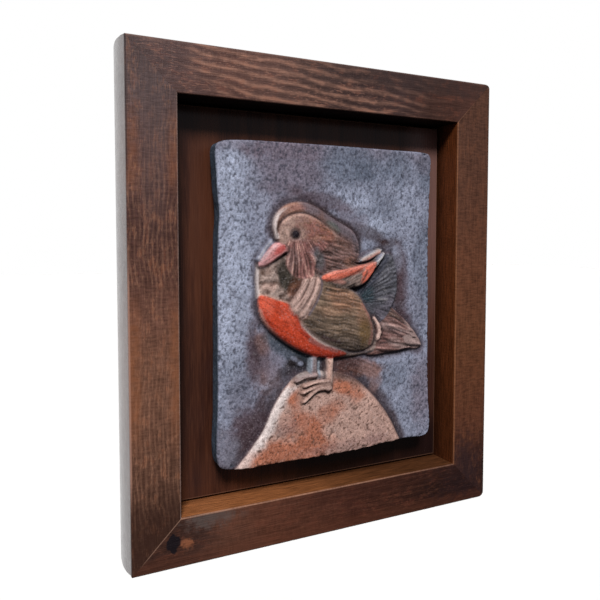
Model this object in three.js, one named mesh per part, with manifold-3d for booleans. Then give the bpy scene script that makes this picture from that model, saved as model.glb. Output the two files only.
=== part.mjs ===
// Framed relief plaque: a bird carved in low relief on a handmade tile, held proud of the panel
// of a deep wooden frame. Millimetres. X runs to the right, Z up, and the wall is the plane Y = 0.
// The front looks along -Y. The origin is where the frame hangs, behind the middle of its top rail.
// Everything is drawn about the middle of the frame, and the whole is then lowered to hang there.
import * as THREE from 'three';
import { mergeVertices } from 'three/addons/utils/BufferGeometryUtils.js';
import Module from 'manifold-3d';

const wasm = await Module();
wasm.setup();

// Frame
const FRAME_WIDTH = 257;
const FRAME_HEIGHT = 300;
const RAIL_WIDTH = 29;
const RAIL_DEPTH = 31;
const OUTER_EASE = 1.4;
const INNER_EASE = 0.8;
const MITRE_GAP = 0.15;

// The outer sides swell by this much at the middle of their depth, in this many flats
const SIDE_BOW = 1.4;
const BOW_FLATS = 5;

// Where the frame hangs, below its top edge: the middle of the top rail's back
const HANG_DROP = 18.5;

// Ledge at the back of each rail, which carries the panel
const LEDGE_WIDTH = 8;
const LEDGE_DEPTH = 4.7;

// Panel, laid on the ledge with an open joint all round
const TOUCH_GAP = 0.3;
const PANEL_JOINT = 1.5;
const PANEL_THICKNESS = 6;
const PANEL_EASE = 0.8;
const PANEL_FRONT = -(LEDGE_DEPTH + TOUCH_GAP + PANEL_THICKNESS);

// Tile, with its ground a little behind the front of the frame
const TILE_SETBACK = 1.3;
const TILE_THICKNESS = 12.2;
const TILE_GROUND = -(RAIL_DEPTH - TILE_SETBACK);
const TILE_BACK = TILE_GROUND + TILE_THICKNESS;
const TILE_ARRIS = 1.2;

// Block behind the tile, which holds it off the panel
const BLOCK_WIDTH = 90;
const BLOCK_HEIGHT = 130;
const BLOCK_EASE = 0.5;

// Carving: the footprint of each form starts below the ground and its sides lean in as they rise
const ROOT = 1;
const RISE = 9;
const LEAN = 0.1;
const SLIM_LEAN = 0.05;
const ROCK_LEAN = 0.3;
const DOME_SIDES = 24;
const DOME_RINGS = 18;

// How far each form of the bird stands above its crowned surface
const BELLY_LIFT = 0.5;
const FACE_LIFT = 1.1;
const BEAK_LIFT = 1.2;
const COLLAR_LIFT = 1.2;
const WING_LIFT = 1.3;
const STRIPE_LIFT = 1.4;

// Spacing of the points that curves are drawn with
const CURVE_STEP = 3.5;
const LONG_STEP = 16;

// The crowned surfaces that the forms of the bird are cut to: a middle, two radii across the
// tile, the height of the middle above the ground, and how far the ellipsoid's own middle lies
// below that.
const BODY_CROWN = { middle: [-10, -6], radii: [62, 52], top: 5.6, depth: 9 };
const HEAD_CROWN = { middle: [-13, 40], radii: [50, 38], top: 5.2, depth: 9 };
const BACK_CROWN = { middle: [30, 6], radii: [36, 40], top: 3.4, depth: 5 };
const TAIL_CROWN = { middle: [26, -24], radii: [66, 40], top: 3.4, depth: 6 };
const SAIL_CROWN = { middle: [12, 20], radii: [40, 30], top: 6.8, depth: 5 };
const ROCK_CROWN = { middle: [-6, -112], radii: [84, 86], top: 4.4, depth: 7 };

// Outlines across the tile, as [x, z]
const TILE_OUTLINE = [
  [-77.2, -90], [-76.6, -60], [-76.3, -20], [-76.2, 10], [-75.6, 42], [-74.8, 56], [-75.6, 63], [-76.6, 78],
  [-77.2, 91], [-76.2, 95], [-72, 97], [-60, 98.2], [-30, 98.7], [10, 98.9], [45, 98.8], [70, 98.7],
  [75.4, 97.8], [77.6, 94.8], [77.6, 87], [76.6, 62], [76.2, 30], [76.4, 0], [76.8, -40], [77.4, -66],
  [78.6, -82], [78.7, -91], [76.8, -95.6], [72, -97.4], [62, -97], [45, -96.8], [34, -97.2], [16, -98.2],
  [-16, -98.2], [-42, -98.3], [-60, -98.7], [-71, -97.8], [-75.6, -95.6],
];
const ROCK = [
  [-67, -101], [-58.6, -90], [-48, -77], [-41, -63], [-33, -52], [-24, -44.6], [-12, -43.4], [4, -46],
  [17, -51.4], [30.4, -63], [42, -77], [49.4, -90], [53.6, -101], [20, -106], [-40, -106],
];
const CREST = [
  [-39.6, 38.6], [-41.6, 44], [-41.3, 50], [-38.2, 56.6], [-32.6, 60.8], [-23.6, 62.6], [-13.6, 60.4],
  [-4.5, 55.2], [5, 50], [14.6, 44.6], [18.8, 37], [19.6, 27], [14, 20], [0, 17], [-14, 18], [-30, 28],
];
const FACE = [
  [-39.2, 40], [-38.8, 46], [-36, 50.8], [-31, 54], [-23, 55.2], [-15, 52.8], [-6, 46.8], [3, 40.6],
  [-4, 36.4], [-11, 31], [-14.5, 24], [-15.5, 17.5], [-21, 15.6], [-29, 17.5], [-33.4, 23.5], [-34, 32],
];
const BEAK = [
  [-40.8, 37.6], [-46.2, 32.4], [-50.8, 25.6], [-50.6, 23.4], [-46.8, 23.8], [-40, 27.8], [-33.4, 32.8],
  [-35.6, 36.2],
];
const BODY = [
  [-46, 27], [-50.6, 22], [-51.4, 12], [-51.4, 0], [-49.4, -8], [-44.6, -14.6], [-35, -22.6], [-24, -29.4],
  [-12, -34], [4, -35.8], [20, -35.6], [29.5, -33.4], [31.5, -24], [28, -13], [22, -3], [14, 8], [0, 15],
  [-12, 24], [-30, 30],
];
const BELLY = [
  [-51.2, 6], [-51.2, -1], [-49.2, -8], [-44.6, -14.6], [-35, -22.6], [-24, -29.4], [-12, -34], [2, -35.6],
  [9, -34], [2, -30], [-7, -27], [-15, -22.4], [-23, -14.6], [-26, -8], [-31, -0.6], [-40, 3],
];
const WING = [
  [-11, 14], [-12.6, 8], [-15.4, 2], [-19.4, -4], [-23.6, -9.6], [-20, -14.8], [-12, -21], [-2, -27],
  [10, -30.8], [21, -32], [27.6, -28.6], [29, -20], [27, -12], [21.6, -2.6], [14, 5.6], [2, 10.6],
];
const DARK_BACK = [
  [16, 6], [25, 12], [33, 20.6], [40, 30], [44.6, 29.4], [47.8, 20], [49, 10], [47.4, 0.6], [44, -5.6],
  [37, -13], [30, -16], [24, -5],
];
const TAIL = [
  [24, -34.6], [28, -14], [34, -7.6], [43.6, -5.6], [52, -11.4], [60, -18.6], [65.8, -25.6], [70, -32.6],
  [67, -34.6], [58, -34.4], [44, -35.6],
];
const SAIL = [
  [-10.4, 15.6], [-5, 19], [6, 20.8], [17, 23], [27, 25.4], [34.6, 30.8], [38.4, 30.8], [33, 23.4],
  [25, 15.8], [17.4, 10.6], [8, 8.6], [-1, 11.4],
];

// Strips along a curve: where they run, and how wide they start and end
const COLLAR = [
  { path: [[-20.5, 15], [-24, 8], [-29.5, 1]], widths: [3, 3.4] },
  { path: [[-16.6, 15], [-20, 6.5], [-27, -2.6]], widths: [3.4, 3.6] },
  { path: [[-12.8, 14], [-15.6, 5.5], [-23.6, -6.6]], widths: [3, 3.2] },
];
const FLANK_STRIPE = { path: [[30, -11.8], [33.8, -18], [33, -26]], widths: [1.6, 2.6] };
const LEGS = [
  { path: [[-13.6, -33], [-13.9, -40], [-14.2, -46]], widths: [4.4, 4], top: 3.4 },
  { path: [[-3, -33], [-3.8, -44], [-4.4, -54]], widths: [4.4, 4.8], top: 6 },
];
const TOES = [
  { path: [[-13.6, -45.4], [-20, -45.8], [-26.4, -48]], widths: [3, 1.8] },
  { path: [[-6, -50], [-13.5, -50], [-21, -51.8]], widths: [2.8, 1.6] },
  { path: [[-5, -52.4], [-14, -53.2], [-22.6, -55.8]], widths: [3, 1.6] },
  { path: [[-4, -54], [-13, -55], [-21.8, -61.4]], widths: [3, 1.8] },
];
const TOE_TOP = 5.8;

// Feathers: root, tip, greatest width, and how far they stand above the form under them
const TAIL_FEATHERS = [
  { root: [38.4, -8.6], tip: [56, -16.4], width: 4.4, lift: 0.5 },
  { root: [34, -11.6], tip: [62.6, -22.8], width: 6, lift: 0.9 },
  { root: [31, -15.4], tip: [64.6, -26.8], width: 7, lift: 1.3 },
  { root: [30, -31], tip: [60, -33.4], width: 5.6, lift: 0.7 },
  { root: [33, -20.6], tip: [69.4, -32.6], width: 8, lift: 1.2 },
];
const SAIL_FEATHERS = [
  { root: [17, 25], tip: [37, 33], width: 4.4, lift: -0.8 },
  { root: [14, 9], tip: [30, 25], width: 7.4, lift: 0.8 },
  { root: [-9, 15], tip: [22, 23.4], width: 6.4, lift: 0.8 },
];

// How far along its length a feather is widest: above a half is nearer the root
const FEATHER_SKEW = 0.76;
const FEATHER_STEPS = 8;

// How much narrower a strip is where its rounded ends begin
const STRIP_SHOULDER = 0.7;

// Grooves across the wing, from the top one down: where each starts and the x where it ends
const WING_GROOVES = [
  { start: [-10, 5], end: 19.2 },
  { start: [-12.4, 1], end: 20.4 },
  { start: [-14.8, -3], end: 21.6 },
  { start: [-17.2, -7], end: 22.8 },
  { start: [-12.6, -11], end: 24 },
  { start: [-8, -15], end: 22.8 },
  { start: [-3, -19], end: 21.6 },
];
const GROOVE_FALL = 4;
const GROOVE_SAG = 1.4;
const GROOVE_WIDTH = 1;
const GROOVE_DEPTH = 0.8;

const EYE = { middle: [-28.6, 42.8], radius: 2.4, top: 6.8 };
const EYE_SIDES = 12;
const EYE_RINGS = 8;

const stainedPine = { color: 0x6a4234, roughness: 0.45, metalness: 0 };
const material = {
  top: new THREE.MeshStandardMaterial({ ...stainedPine, color: 0x6f4738 }),
  bottom: new THREE.MeshStandardMaterial({ ...stainedPine, color: 0x5c3a2e }),
  left: new THREE.MeshStandardMaterial({ ...stainedPine, color: 0x7b4d39 }),
  right: new THREE.MeshStandardMaterial(stainedPine),
  panel: new THREE.MeshStandardMaterial({ color: 0x50332b, roughness: 0.35, metalness: 0 }),
  block: new THREE.MeshStandardMaterial({ color: 0x8a6b4c, roughness: 0.8, metalness: 0 }),
  tile: new THREE.MeshStandardMaterial({ color: 0x8b8fa2, roughness: 0.9, metalness: 0 }),
};

function toManifold(geometry) {
  geometry.deleteAttribute('normal');
  geometry.deleteAttribute('uv');
  const merged = mergeVertices(geometry, 1e-4);
  return new wasm.Manifold(new wasm.Mesh({
    numProp: 3,
    vertProperties: new Float32Array(merged.attributes.position.array),
    triVerts: new Uint32Array(merged.index.array),
  }));
}

function toGeometry(solid) {
  const { vertProperties, triVerts } = solid.getMesh();
  const geometry = new THREE.BufferGeometry();
  geometry.setAttribute('position', new THREE.BufferAttribute(vertProperties, 3));
  geometry.setIndex(new THREE.BufferAttribute(triVerts, 1));
  return geometry;
}

function named(name, geometry, finish) {
  const mesh = new THREE.Mesh(geometry, finish);
  mesh.name = name;
  return mesh;
}

// How far the outer side stands out at an edge between two of its flats. The middle flat stands
// out the most, and the frame can rest on it.
function bowAt(edge) {
  const swell = (place) => place * (1 - place);
  return SIDE_BOW * swell(edge / BOW_FLATS) / swell((BOW_FLATS - 1) / 2 / BOW_FLATS);
}

function outerSide() {
  const points = [];
  for (let edge = 0; edge <= BOW_FLATS; edge += 1) {
    points.push([-bowAt(edge), (OUTER_EASE - RAIL_DEPTH) * edge / BOW_FLATS]);
  }
  return points;
}

// One rail along X with its outer edge up, mitred at both ends. The section is drawn as [u, y],
// with u running in from the outer edge. The open joint is half the gap on each side of the mitre.
function railGeometry(length, outerEdge) {
  const section = [
    ...outerSide(),
    [OUTER_EASE, -RAIL_DEPTH],
    [RAIL_WIDTH - INNER_EASE, -RAIL_DEPTH],
    [RAIL_WIDTH, INNER_EASE - RAIL_DEPTH],
    [RAIL_WIDTH, -LEDGE_DEPTH],
    [RAIL_WIDTH + LEDGE_WIDTH, -LEDGE_DEPTH],
    [RAIL_WIDTH + LEDGE_WIDTH, 0],
  ].map(([u, y]) => new THREE.Vector2(u, y));
  const positions = [];
  for (const side of [1, -1]) {
    for (const { x: u, y } of section) {
      positions.push(side * (length / 2 - u - MITRE_GAP * Math.SQRT2), y, outerEdge - u);
    }
  }
  const count = section.length;
  const index = [];
  for (let i = 0; i < count; i += 1) {
    const next = (i + 1) % count;
    index.push(i, count + i, next, next, count + i, count + next);
  }
  for (const [a, b, c] of THREE.ShapeUtils.triangulateShape(section, [])) {
    index.push(a, b, c, count + c, count + b, count + a);
  }
  const geometry = new THREE.BufferGeometry();
  geometry.setAttribute('position', new THREE.Float32BufferAttribute(positions, 3));
  geometry.setIndex(index);
  return geometry;
}

function rail(name, length, outerEdge, turn, finish) {
  const mesh = named(name, railGeometry(length, outerEdge), finish);
  mesh.rotation.y = turn;
  return mesh;
}

// A flat shape drawn across X and Z and given thickness between two depths, with its edges eased
function slab(shape, back, front, ease) {
  const geometry = new THREE.ExtrudeGeometry(shape, {
    depth: back - front - 2 * ease,
    bevelEnabled: ease > 0,
    bevelThickness: ease,
    bevelSize: ease,
    bevelOffset: -ease,
    bevelSegments: 1,
  });
  geometry.rotateX(Math.PI / 2);
  geometry.translate(0, back - ease, 0);
  return geometry;
}

// A board facing -Y between two depths, with its edges eased
function board(name, width, height, back, front, ease, finish) {
  const shape = new THREE.Shape([
    new THREE.Vector2(-width / 2, -height / 2), new THREE.Vector2(width / 2, -height / 2),
    new THREE.Vector2(width / 2, height / 2), new THREE.Vector2(-width / 2, height / 2),
  ]);
  return named(name, slab(shape, back, front, ease), finish);
}

// A closed outline drawn smoothly through a few points
function outline(points, spacing = CURVE_STEP) {
  const corners = points.map(([x, z]) => new THREE.Vector3(x, z, 0));
  const curve = new THREE.CatmullRomCurve3(corners, true, 'centripetal');
  const drawn = [];
  corners.forEach((corner, i) => {
    const stretch = corner.distanceTo(corners[(i + 1) % corners.length]);
    const steps = Math.max(2, Math.round(stretch / spacing));
    for (let step = 0; step < steps; step += 1) {
      const { x, y } = curve.getPoint((i + step / steps) / corners.length);
      drawn.push(new THREE.Vector2(x, y));
    }
  });
  return new THREE.Shape(drawn);
}

// The outline of a strip along a curve, with rounded ends
function strip({ path, widths }) {
  const curve = new THREE.CatmullRomCurve3(path.map(([x, z]) => new THREE.Vector3(x, z, 0)));
  const steps = Math.max(4, Math.round(curve.getLength() / CURVE_STEP));
  const point = (t, forward, sideways) => {
    const at = curve.getPointAt(t);
    const along = curve.getTangentAt(t);
    const half = THREE.MathUtils.lerp(widths[0], widths[1], t) / 2;
    return new THREE.Vector2(
      at.x + (along.x * forward - along.y * sideways) * half,
      at.y + (along.y * forward + along.x * sideways) * half,
    );
  };
  const left = [];
  const right = [];
  for (let i = 0; i <= steps; i += 1) {
    const reach = i === 0 || i === steps ? STRIP_SHOULDER : 1;
    left.push(point(i / steps, 0, reach));
    right.unshift(point(i / steps, 0, -reach));
  }
  return new THREE.Shape([point(0, -1, 0), ...left, point(1, 1, 0), ...right]);
}

// The outline of a feather, pointed at both ends
function feather({ root, tip, width }) {
  const from = new THREE.Vector2(...root);
  const along = new THREE.Vector2(...tip).sub(from);
  const across = new THREE.Vector2(-along.y, along.x).normalize();
  const left = [];
  const right = [];
  for (let i = 0; i <= FEATHER_STEPS; i += 1) {
    const t = i / FEATHER_STEPS;
    const half = (width / 2) * Math.sin(Math.PI * t ** FEATHER_SKEW);
    const at = from.clone().addScaledVector(along, t);
    left.push(at.clone().addScaledVector(across, half));
    if (i > 0 && i < FEATHER_STEPS) right.unshift(at.clone().addScaledVector(across, -half));
  }
  return new THREE.Shape([...left, ...right]);
}

// A shape standing up from the tile's ground, with sides that lean in
function standing(shape, lean = LEAN) {
  const geometry = new THREE.ExtrudeGeometry(shape, {
    depth: ROOT,
    bevelThickness: RISE,
    bevelSize: RISE * lean,
    bevelOffset: -RISE * lean,
    bevelSegments: 1,
  });
  geometry.rotateX(Math.PI / 2);
  geometry.translate(0, TILE_GROUND + ROOT, 0);
  return toManifold(geometry);
}

// Everything under a crowned surface
function crown({ middle, radii, top, depth }, lift = 0) {
  const geometry = new THREE.SphereGeometry(1, DOME_SIDES, DOME_RINGS);
  geometry.scale(radii[0], depth, radii[1]);
  geometry.translate(middle[0], TILE_GROUND - top - lift + depth, middle[1]);
  return toManifold(geometry);
}

function form(shape, surface, lift = 0, lean = LEAN) {
  return standing(shape, lean).intersect(crown(surface, lift));
}

// A form of one height all over
function plateau(shape, height, lean = LEAN) {
  const lid = new THREE.BoxGeometry(FRAME_WIDTH, TILE_THICKNESS, FRAME_HEIGHT);
  lid.translate(0, TILE_GROUND - height + TILE_THICKNESS / 2, 0);
  return standing(shape, lean).intersect(toManifold(lid));
}

function groovedWing() {
  const below = crown(BODY_CROWN, WING_LIFT - GROOVE_DEPTH);
  let wing = form(outline(WING), BODY_CROWN, WING_LIFT);
  for (const { start: [x, z], end } of WING_GROOVES) {
    const path = [[x, z], [(x + end) / 2, z - GROOVE_SAG], [end, z - GROOVE_FALL]];
    const cut = standing(strip({ path, widths: [GROOVE_WIDTH, GROOVE_WIDTH] }), 0);
    wing = wing.subtract(cut.subtract(below));
  }
  return wing;
}

function bird() {
  const parts = [
    form(outline(BODY), BODY_CROWN),
    form(outline(BELLY), BODY_CROWN, BELLY_LIFT),
    groovedWing(),
    form(outline(CREST), HEAD_CROWN),
    form(outline(FACE), HEAD_CROWN, FACE_LIFT),
    form(outline(DARK_BACK), BACK_CROWN),
    form(outline(SAIL), SAIL_CROWN),
    form(outline(TAIL), TAIL_CROWN),
    form(outline(BEAK), HEAD_CROWN, BEAK_LIFT),
    form(strip(FLANK_STRIPE), TAIL_CROWN, STRIPE_LIFT, SLIM_LEAN),
  ];
  for (const band of COLLAR) parts.push(form(strip(band), BODY_CROWN, COLLAR_LIFT, SLIM_LEAN));
  for (const plume of TAIL_FEATHERS) parts.push(form(feather(plume), TAIL_CROWN, plume.lift, SLIM_LEAN));
  for (const plume of SAIL_FEATHERS) parts.push(form(feather(plume), SAIL_CROWN, plume.lift, SLIM_LEAN));
  for (const leg of LEGS) parts.push(plateau(strip(leg), leg.top, SLIM_LEAN));
  for (const toe of TOES) parts.push(plateau(strip(toe), TOE_TOP, SLIM_LEAN));
  return parts;
}

function eye() {
  const ball = new THREE.SphereGeometry(EYE.radius, EYE_SIDES, EYE_RINGS);
  ball.translate(EYE.middle[0], TILE_GROUND - EYE.top + EYE.radius, EYE.middle[1]);
  return toManifold(ball);
}

// The tile with the bird on its rock. The rock runs out at the tile's edge.
function reliefTile() {
  const edge = outline(TILE_OUTLINE, LONG_STEP);
  const overTile = toManifold(slab(edge, TILE_GROUND + ROOT, TILE_GROUND - RISE, 0));
  let tile = toManifold(slab(edge, TILE_BACK, TILE_GROUND, TILE_ARRIS));
  tile = tile.add(form(outline(ROCK, LONG_STEP), ROCK_CROWN, 0, ROCK_LEAN).intersect(overTile));
  for (const part of bird()) tile = tile.add(part);
  tile = tile.add(eye());
  return named('relief_tile', toGeometry(tile), material.tile);
}

const opening = { width: FRAME_WIDTH - 2 * RAIL_WIDTH, height: FRAME_HEIGHT - 2 * RAIL_WIDTH };
const plaque = new THREE.Group();
plaque.add(
  rail('top_rail', FRAME_WIDTH, FRAME_HEIGHT / 2, 0, material.top),
  rail('bottom_rail', FRAME_WIDTH, FRAME_HEIGHT / 2, Math.PI, material.bottom),
  rail('left_stile', FRAME_HEIGHT, FRAME_WIDTH / 2, -Math.PI / 2, material.left),
  rail('right_stile', FRAME_HEIGHT, FRAME_WIDTH / 2, Math.PI / 2, material.right),
  board('back_panel', opening.width - 2 * PANEL_JOINT, opening.height - 2 * PANEL_JOINT,
    -(LEDGE_DEPTH + TOUCH_GAP), PANEL_FRONT, PANEL_EASE, material.panel),
  board('mounting_block', BLOCK_WIDTH, BLOCK_HEIGHT,
    PANEL_FRONT - TOUCH_GAP, TILE_BACK + TOUCH_GAP, BLOCK_EASE, material.block),
  reliefTile(),
);
plaque.position.z = HANG_DROP - FRAME_HEIGHT / 2;

export default plaque;
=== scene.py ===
import math

import bmesh
import bpy
import numpy as np
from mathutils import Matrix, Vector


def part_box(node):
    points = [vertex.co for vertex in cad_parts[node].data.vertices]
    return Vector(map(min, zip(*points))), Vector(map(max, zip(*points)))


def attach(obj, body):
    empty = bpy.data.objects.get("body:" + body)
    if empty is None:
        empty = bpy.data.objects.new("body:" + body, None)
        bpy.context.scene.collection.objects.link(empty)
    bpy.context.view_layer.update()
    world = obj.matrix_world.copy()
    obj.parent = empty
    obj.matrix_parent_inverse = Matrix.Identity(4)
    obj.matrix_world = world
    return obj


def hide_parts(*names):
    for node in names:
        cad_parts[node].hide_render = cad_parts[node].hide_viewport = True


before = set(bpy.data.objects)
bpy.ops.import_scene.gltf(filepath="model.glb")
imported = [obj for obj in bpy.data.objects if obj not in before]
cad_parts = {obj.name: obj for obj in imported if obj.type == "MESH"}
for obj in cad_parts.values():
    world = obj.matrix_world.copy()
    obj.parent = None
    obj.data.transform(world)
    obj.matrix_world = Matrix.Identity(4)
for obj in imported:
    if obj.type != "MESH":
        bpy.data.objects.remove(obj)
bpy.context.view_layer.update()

# Lengths are in millimetres up to the point where a mesh is placed. The carving is drawn about the
# middle of the frame, with x to the right, z up and heights measured off the tile's ground.
MM = 0.001

# Places taken from the solids. The outer sides swell past OUTER and TOP_EDGE by SIDE_BOW
SIDE_BOW = 1.4
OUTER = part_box("right_stile")[1].x / MM - SIDE_BOW
TOP_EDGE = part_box("top_rail")[1].z / MM - SIDE_BOW
RAIL_DEPTH = -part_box("top_rail")[0].y / MM
MIDDLE_Z = (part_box("left_stile")[0].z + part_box("left_stile")[1].z) / 2 / MM
HALF_HEIGHT = TOP_EDGE - MIDDLE_Z
TILE_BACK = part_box("relief_tile")[1].y / MM
TILE_THICKNESS = 12.2
TILE_GROUND = TILE_BACK - TILE_THICKNESS
TILE_TOP = TILE_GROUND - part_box("relief_tile")[0].y / MM

# The rails: section, eased edges, and cuts along them and through their depth
RAIL_WIDTH = 29
LEDGE_WIDTH = 8
LEDGE_DEPTH = 4.7
OUTER_EASE = 1.4
INNER_EASE = 0.8
BACK_EASE = 0.5
MITRE_GAP = 0.02
RAIL_CUTS = 72
DEPTH_CUTS = 8
PLANE_HOLLOW = 0.22

# How far the outer corners are worn round, by flats at these angles
TOP_LEFT_WEAR = 1.2
TOP_RIGHT_WEAR = 5.4
LOW_LEFT_WEAR = 1.8
LOW_RIGHT_WEAR = 6.4
CORNER_FLATS = (78.75, 67.5, 56.25, 45)

# The panel: its eased front edge, and the hollows and cuts of its face
PANEL_EASE = 0.9
PANEL_HOLLOW = 0.12
PANEL_CUTS = 30

# Tile mesh: cells across and up, rings down its sides, and the depth of its worn arris
TILE_ACROSS = 250
TILE_UP = 322
SIDE_RINGS = 9
ARRIS = 1.3

# Edges that meet at less than these angles are shaded smooth, in degrees
WOOD_SMOOTH = 40
CLAY_SMOOTH = 60

# Two places closer than this count as one, in metres
CLOSE = 1e-6

# Crowned surfaces of the carving: middle, radii, height of the middle, and depth of the dome
BODY_CROWN = ((-10, -6), (62, 52), 5.6, 9)
HEAD_CROWN = ((-13, 40), (50, 38), 5.2, 9)
BACK_CROWN = ((30, 6), (36, 40), 3.4, 5)
TAIL_CROWN = ((26, -24), (66, 40), 3.4, 6)
SAIL_CROWN = ((12, 20), (40, 30), 6.8, 5)
ROCK_CROWN = ((-6, -112), (84, 86), 4.4, 7)

# Outlines of the carving, as in the solid
TILE_OUTLINE = [
    (-77.2, -90), (-76.6, -60), (-76.3, -20), (-76.2, 10), (-75.6, 42), (-74.8, 56), (-75.6, 63),
    (-76.6, 78), (-77.2, 91), (-76.2, 95), (-72, 97), (-60, 98.2), (-30, 98.7), (10, 98.9),
    (45, 98.8), (70, 98.7), (75.4, 97.8), (77.6, 94.8), (77.6, 87), (76.6, 62), (76.2, 30),
    (76.4, 0), (76.8, -40), (77.4, -66), (78.6, -82), (78.7, -91), (76.8, -95.6), (72, -97.4),
    (62, -97), (45, -96.8), (34, -97.2), (16, -98.2), (-16, -98.2), (-42, -98.3), (-60, -98.7),
    (-71, -97.8), (-75.6, -95.6),
]
ROCK = [
    (-67, -101), (-58.6, -90), (-48, -77), (-41, -63), (-33, -52), (-24, -44.6), (-12, -43.4),
    (4, -46), (17, -51.4), (30.4, -63), (42, -77), (49.4, -90), (53.6, -101), (20, -106),
    (-40, -106),
]
CREST = [
    (-39.6, 38.6), (-41.6, 44), (-41.3, 50), (-38.2, 56.6), (-32.6, 60.8), (-23.6, 62.6),
    (-13.6, 60.4), (-4.5, 55.2), (5, 50), (14.6, 44.6), (18.8, 37), (19.6, 27), (14, 20), (0, 17),
    (-14, 18), (-30, 28),
]
FACE = [
    (-39.2, 40), (-38.8, 46), (-36, 50.8), (-31, 54), (-23, 55.2), (-15, 52.8), (-6, 46.8),
    (3, 40.6), (-4, 36.4), (-11, 31), (-14.5, 24), (-15.5, 17.5), (-21, 15.6), (-29, 17.5),
    (-33.4, 23.5), (-34, 32),
]
BEAK = [
    (-40.8, 37.6), (-46.2, 32.4), (-50.8, 25.6), (-50.6, 23.4), (-46.8, 23.8), (-40, 27.8),
    (-33.4, 32.8), (-35.6, 36.2),
]
BODY = [
    (-46, 27), (-50.6, 22), (-51.4, 12), (-51.4, 0), (-49.4, -8), (-44.6, -14.6), (-35, -22.6),
    (-24, -29.4), (-12, -34), (4, -35.8), (20, -35.6), (29.5, -33.4), (31.5, -24), (28, -13),
    (22, -3), (14, 8), (0, 15), (-12, 24), (-30, 30),
]
BELLY = [
    (-51.2, 6), (-51.2, -1), (-49.2, -8), (-44.6, -14.6), (-35, -22.6), (-24, -29.4), (-12, -34),
    (2, -35.6), (9, -34), (2, -30), (-7, -27), (-15, -22.4), (-23, -14.6), (-26, -8), (-31, -0.6),
    (-40, 3),
]
WING = [
    (-11, 14), (-12.6, 8), (-15.4, 2), (-19.4, -4), (-23.6, -9.6), (-20, -14.8), (-12, -21),
    (-2, -27), (10, -30.8), (21, -32), (27.6, -28.6), (29, -20), (27, -12), (21.6, -2.6), (14, 5.6),
    (2, 10.6),
]
DARK_BACK = [
    (16, 6), (25, 12), (33, 20.6), (40, 30), (44.6, 29.4), (47.8, 20), (49, 10), (47.4, 0.6),
    (44, -5.6), (37, -13), (30, -16), (24, -5),
]
TAIL = [
    (24, -34.6), (28, -14), (34, -7.6), (43.6, -5.6), (52, -11.4), (60, -18.6), (65.8, -25.6),
    (70, -32.6), (67, -34.6), (58, -34.4), (44, -35.6),
]
SAIL = [
    (-10.4, 15.6), (-5, 19), (6, 20.8), (17, 23), (27, 25.4), (34.6, 30.8), (38.4, 30.8), (33, 23.4),
    (25, 15.8), (17.4, 10.6), (8, 8.6), (-1, 11.4),
]

# Strips: where they run, and their widths at the two ends
COLLAR = [
    ([(-20.5, 15), (-24, 8), (-29.5, 1)], (3, 3.4)),
    ([(-16.6, 15), (-20, 6.5), (-27, -2.6)], (3.4, 3.6)),
    ([(-12.8, 14), (-15.6, 5.5), (-23.6, -6.6)], (3, 3.2)),
]
FLANK_STRIPE = ([(29.4, -11.6), (32, -15.6), (33.4, -20.6), (32.2, -25)], (1.6, 2.8))
FAR_LEG = ([(-13.6, -33), (-13.9, -40), (-14.2, -46)], (4.4, 4))
NEAR_LEG = ([(-3, -33), (-3.8, -44), (-4.4, -54)], (4.4, 4.8))
TOES = [
    ([(-13.6, -45.4), (-20, -45.8), (-26.4, -48)], (2.6, 1.6)),
    ([(-6, -50), (-13.5, -50), (-21, -51.8)], (2.4, 1.4)),
    ([(-5, -52.4), (-14, -53.2), (-22.6, -55.8)], (2.6, 1.4)),
    ([(-4, -54), (-13, -55), (-21.8, -61.4)], (2.6, 1.6)),
]

# Feathers: root, tip, greatest width, and height above the form under them
TAIL_FEATHERS = [
    ((38.4, -8.6), (56, -16.4), 4.4, 0.5),
    ((34, -11.6), (62.6, -22.8), 6, 0.9),
    ((31, -15.4), (64.6, -26.8), 7, 1.3),
    ((30, -31), (60, -33.4), 5.6, 0.7),
    ((33, -20.6), (69.4, -32.6), 8, 1.2),
]
SAIL_FEATHERS = [
    ((17, 25), (37, 33), 4.4, -0.8),
    ((14, 9), (30, 25), 7.4, 0.8),
    ((-9, 15), (22, 23.4), 6.4, 0.8),
]

# Drifts of colour on the ground: paint, then patches with strength, middle and radii
GROUND_PATCHES = [
    ("pale lavender", (0.85, -70, 25, 11, 66), (0.45, -62, 82, 13, 18), (0.4, -57, 15, 6, 22)),
    ("mauve", (0.85, -30, 82, 26, 20), (0.6, -10, 96, 90, 6)),
    ("steel", (0.8, 12, 88, 18, 14), (0.4, 38, 62, 13, 12), (0.4, 30, 82, 12, 9)),
    ("steel", (0.6, 72, 22, 9, 30), (0.75, 73, 86, 7, 14), (0.4, 64, -22, 8, 18)),
    ("pale lavender", (0.4, 30, 48, 15, 6), (0.3, 58, 64, 12, 14), (0.3, 15, 66, 14, 7)),
    ("mauve", (0.25, 62, -10, 10, 20), (0.75, 72, -66, 10, 24), (0.45, 72, 92, 10, 8)),
    ("steel", (0.5, 48, -52, 10, 8), (0.35, -66, -42, 10, 12), (0.7, 50, 87, 11, 12)),
    ("pale lavender", (0.5, 20, 63, 9, 6), (0.6, 32, 50, 8, 6), (0.4, -48, 60, 5, 8)),
    ("plum", (0.8, -72, -88, 10, 14), (0.3, -62, -60, 9, 20)),
]

# Tip of the lowest tail feather, pale and drawn over the others
TAIL_TIP = ((52, -25.6), (70.4, -33), 7)

# The eye: its middle, its radius and the height of its top
EYE = (-28.6, 42.8)
EYE_RADIUS = 2.4
EYE_TOP = 6.8

# Heights of the far leg, the near leg and the toes
FAR_LEG_TOP = 3.4
NEAR_LEG_TOP = 6.0
TOE_TOP = 5.5

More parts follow.
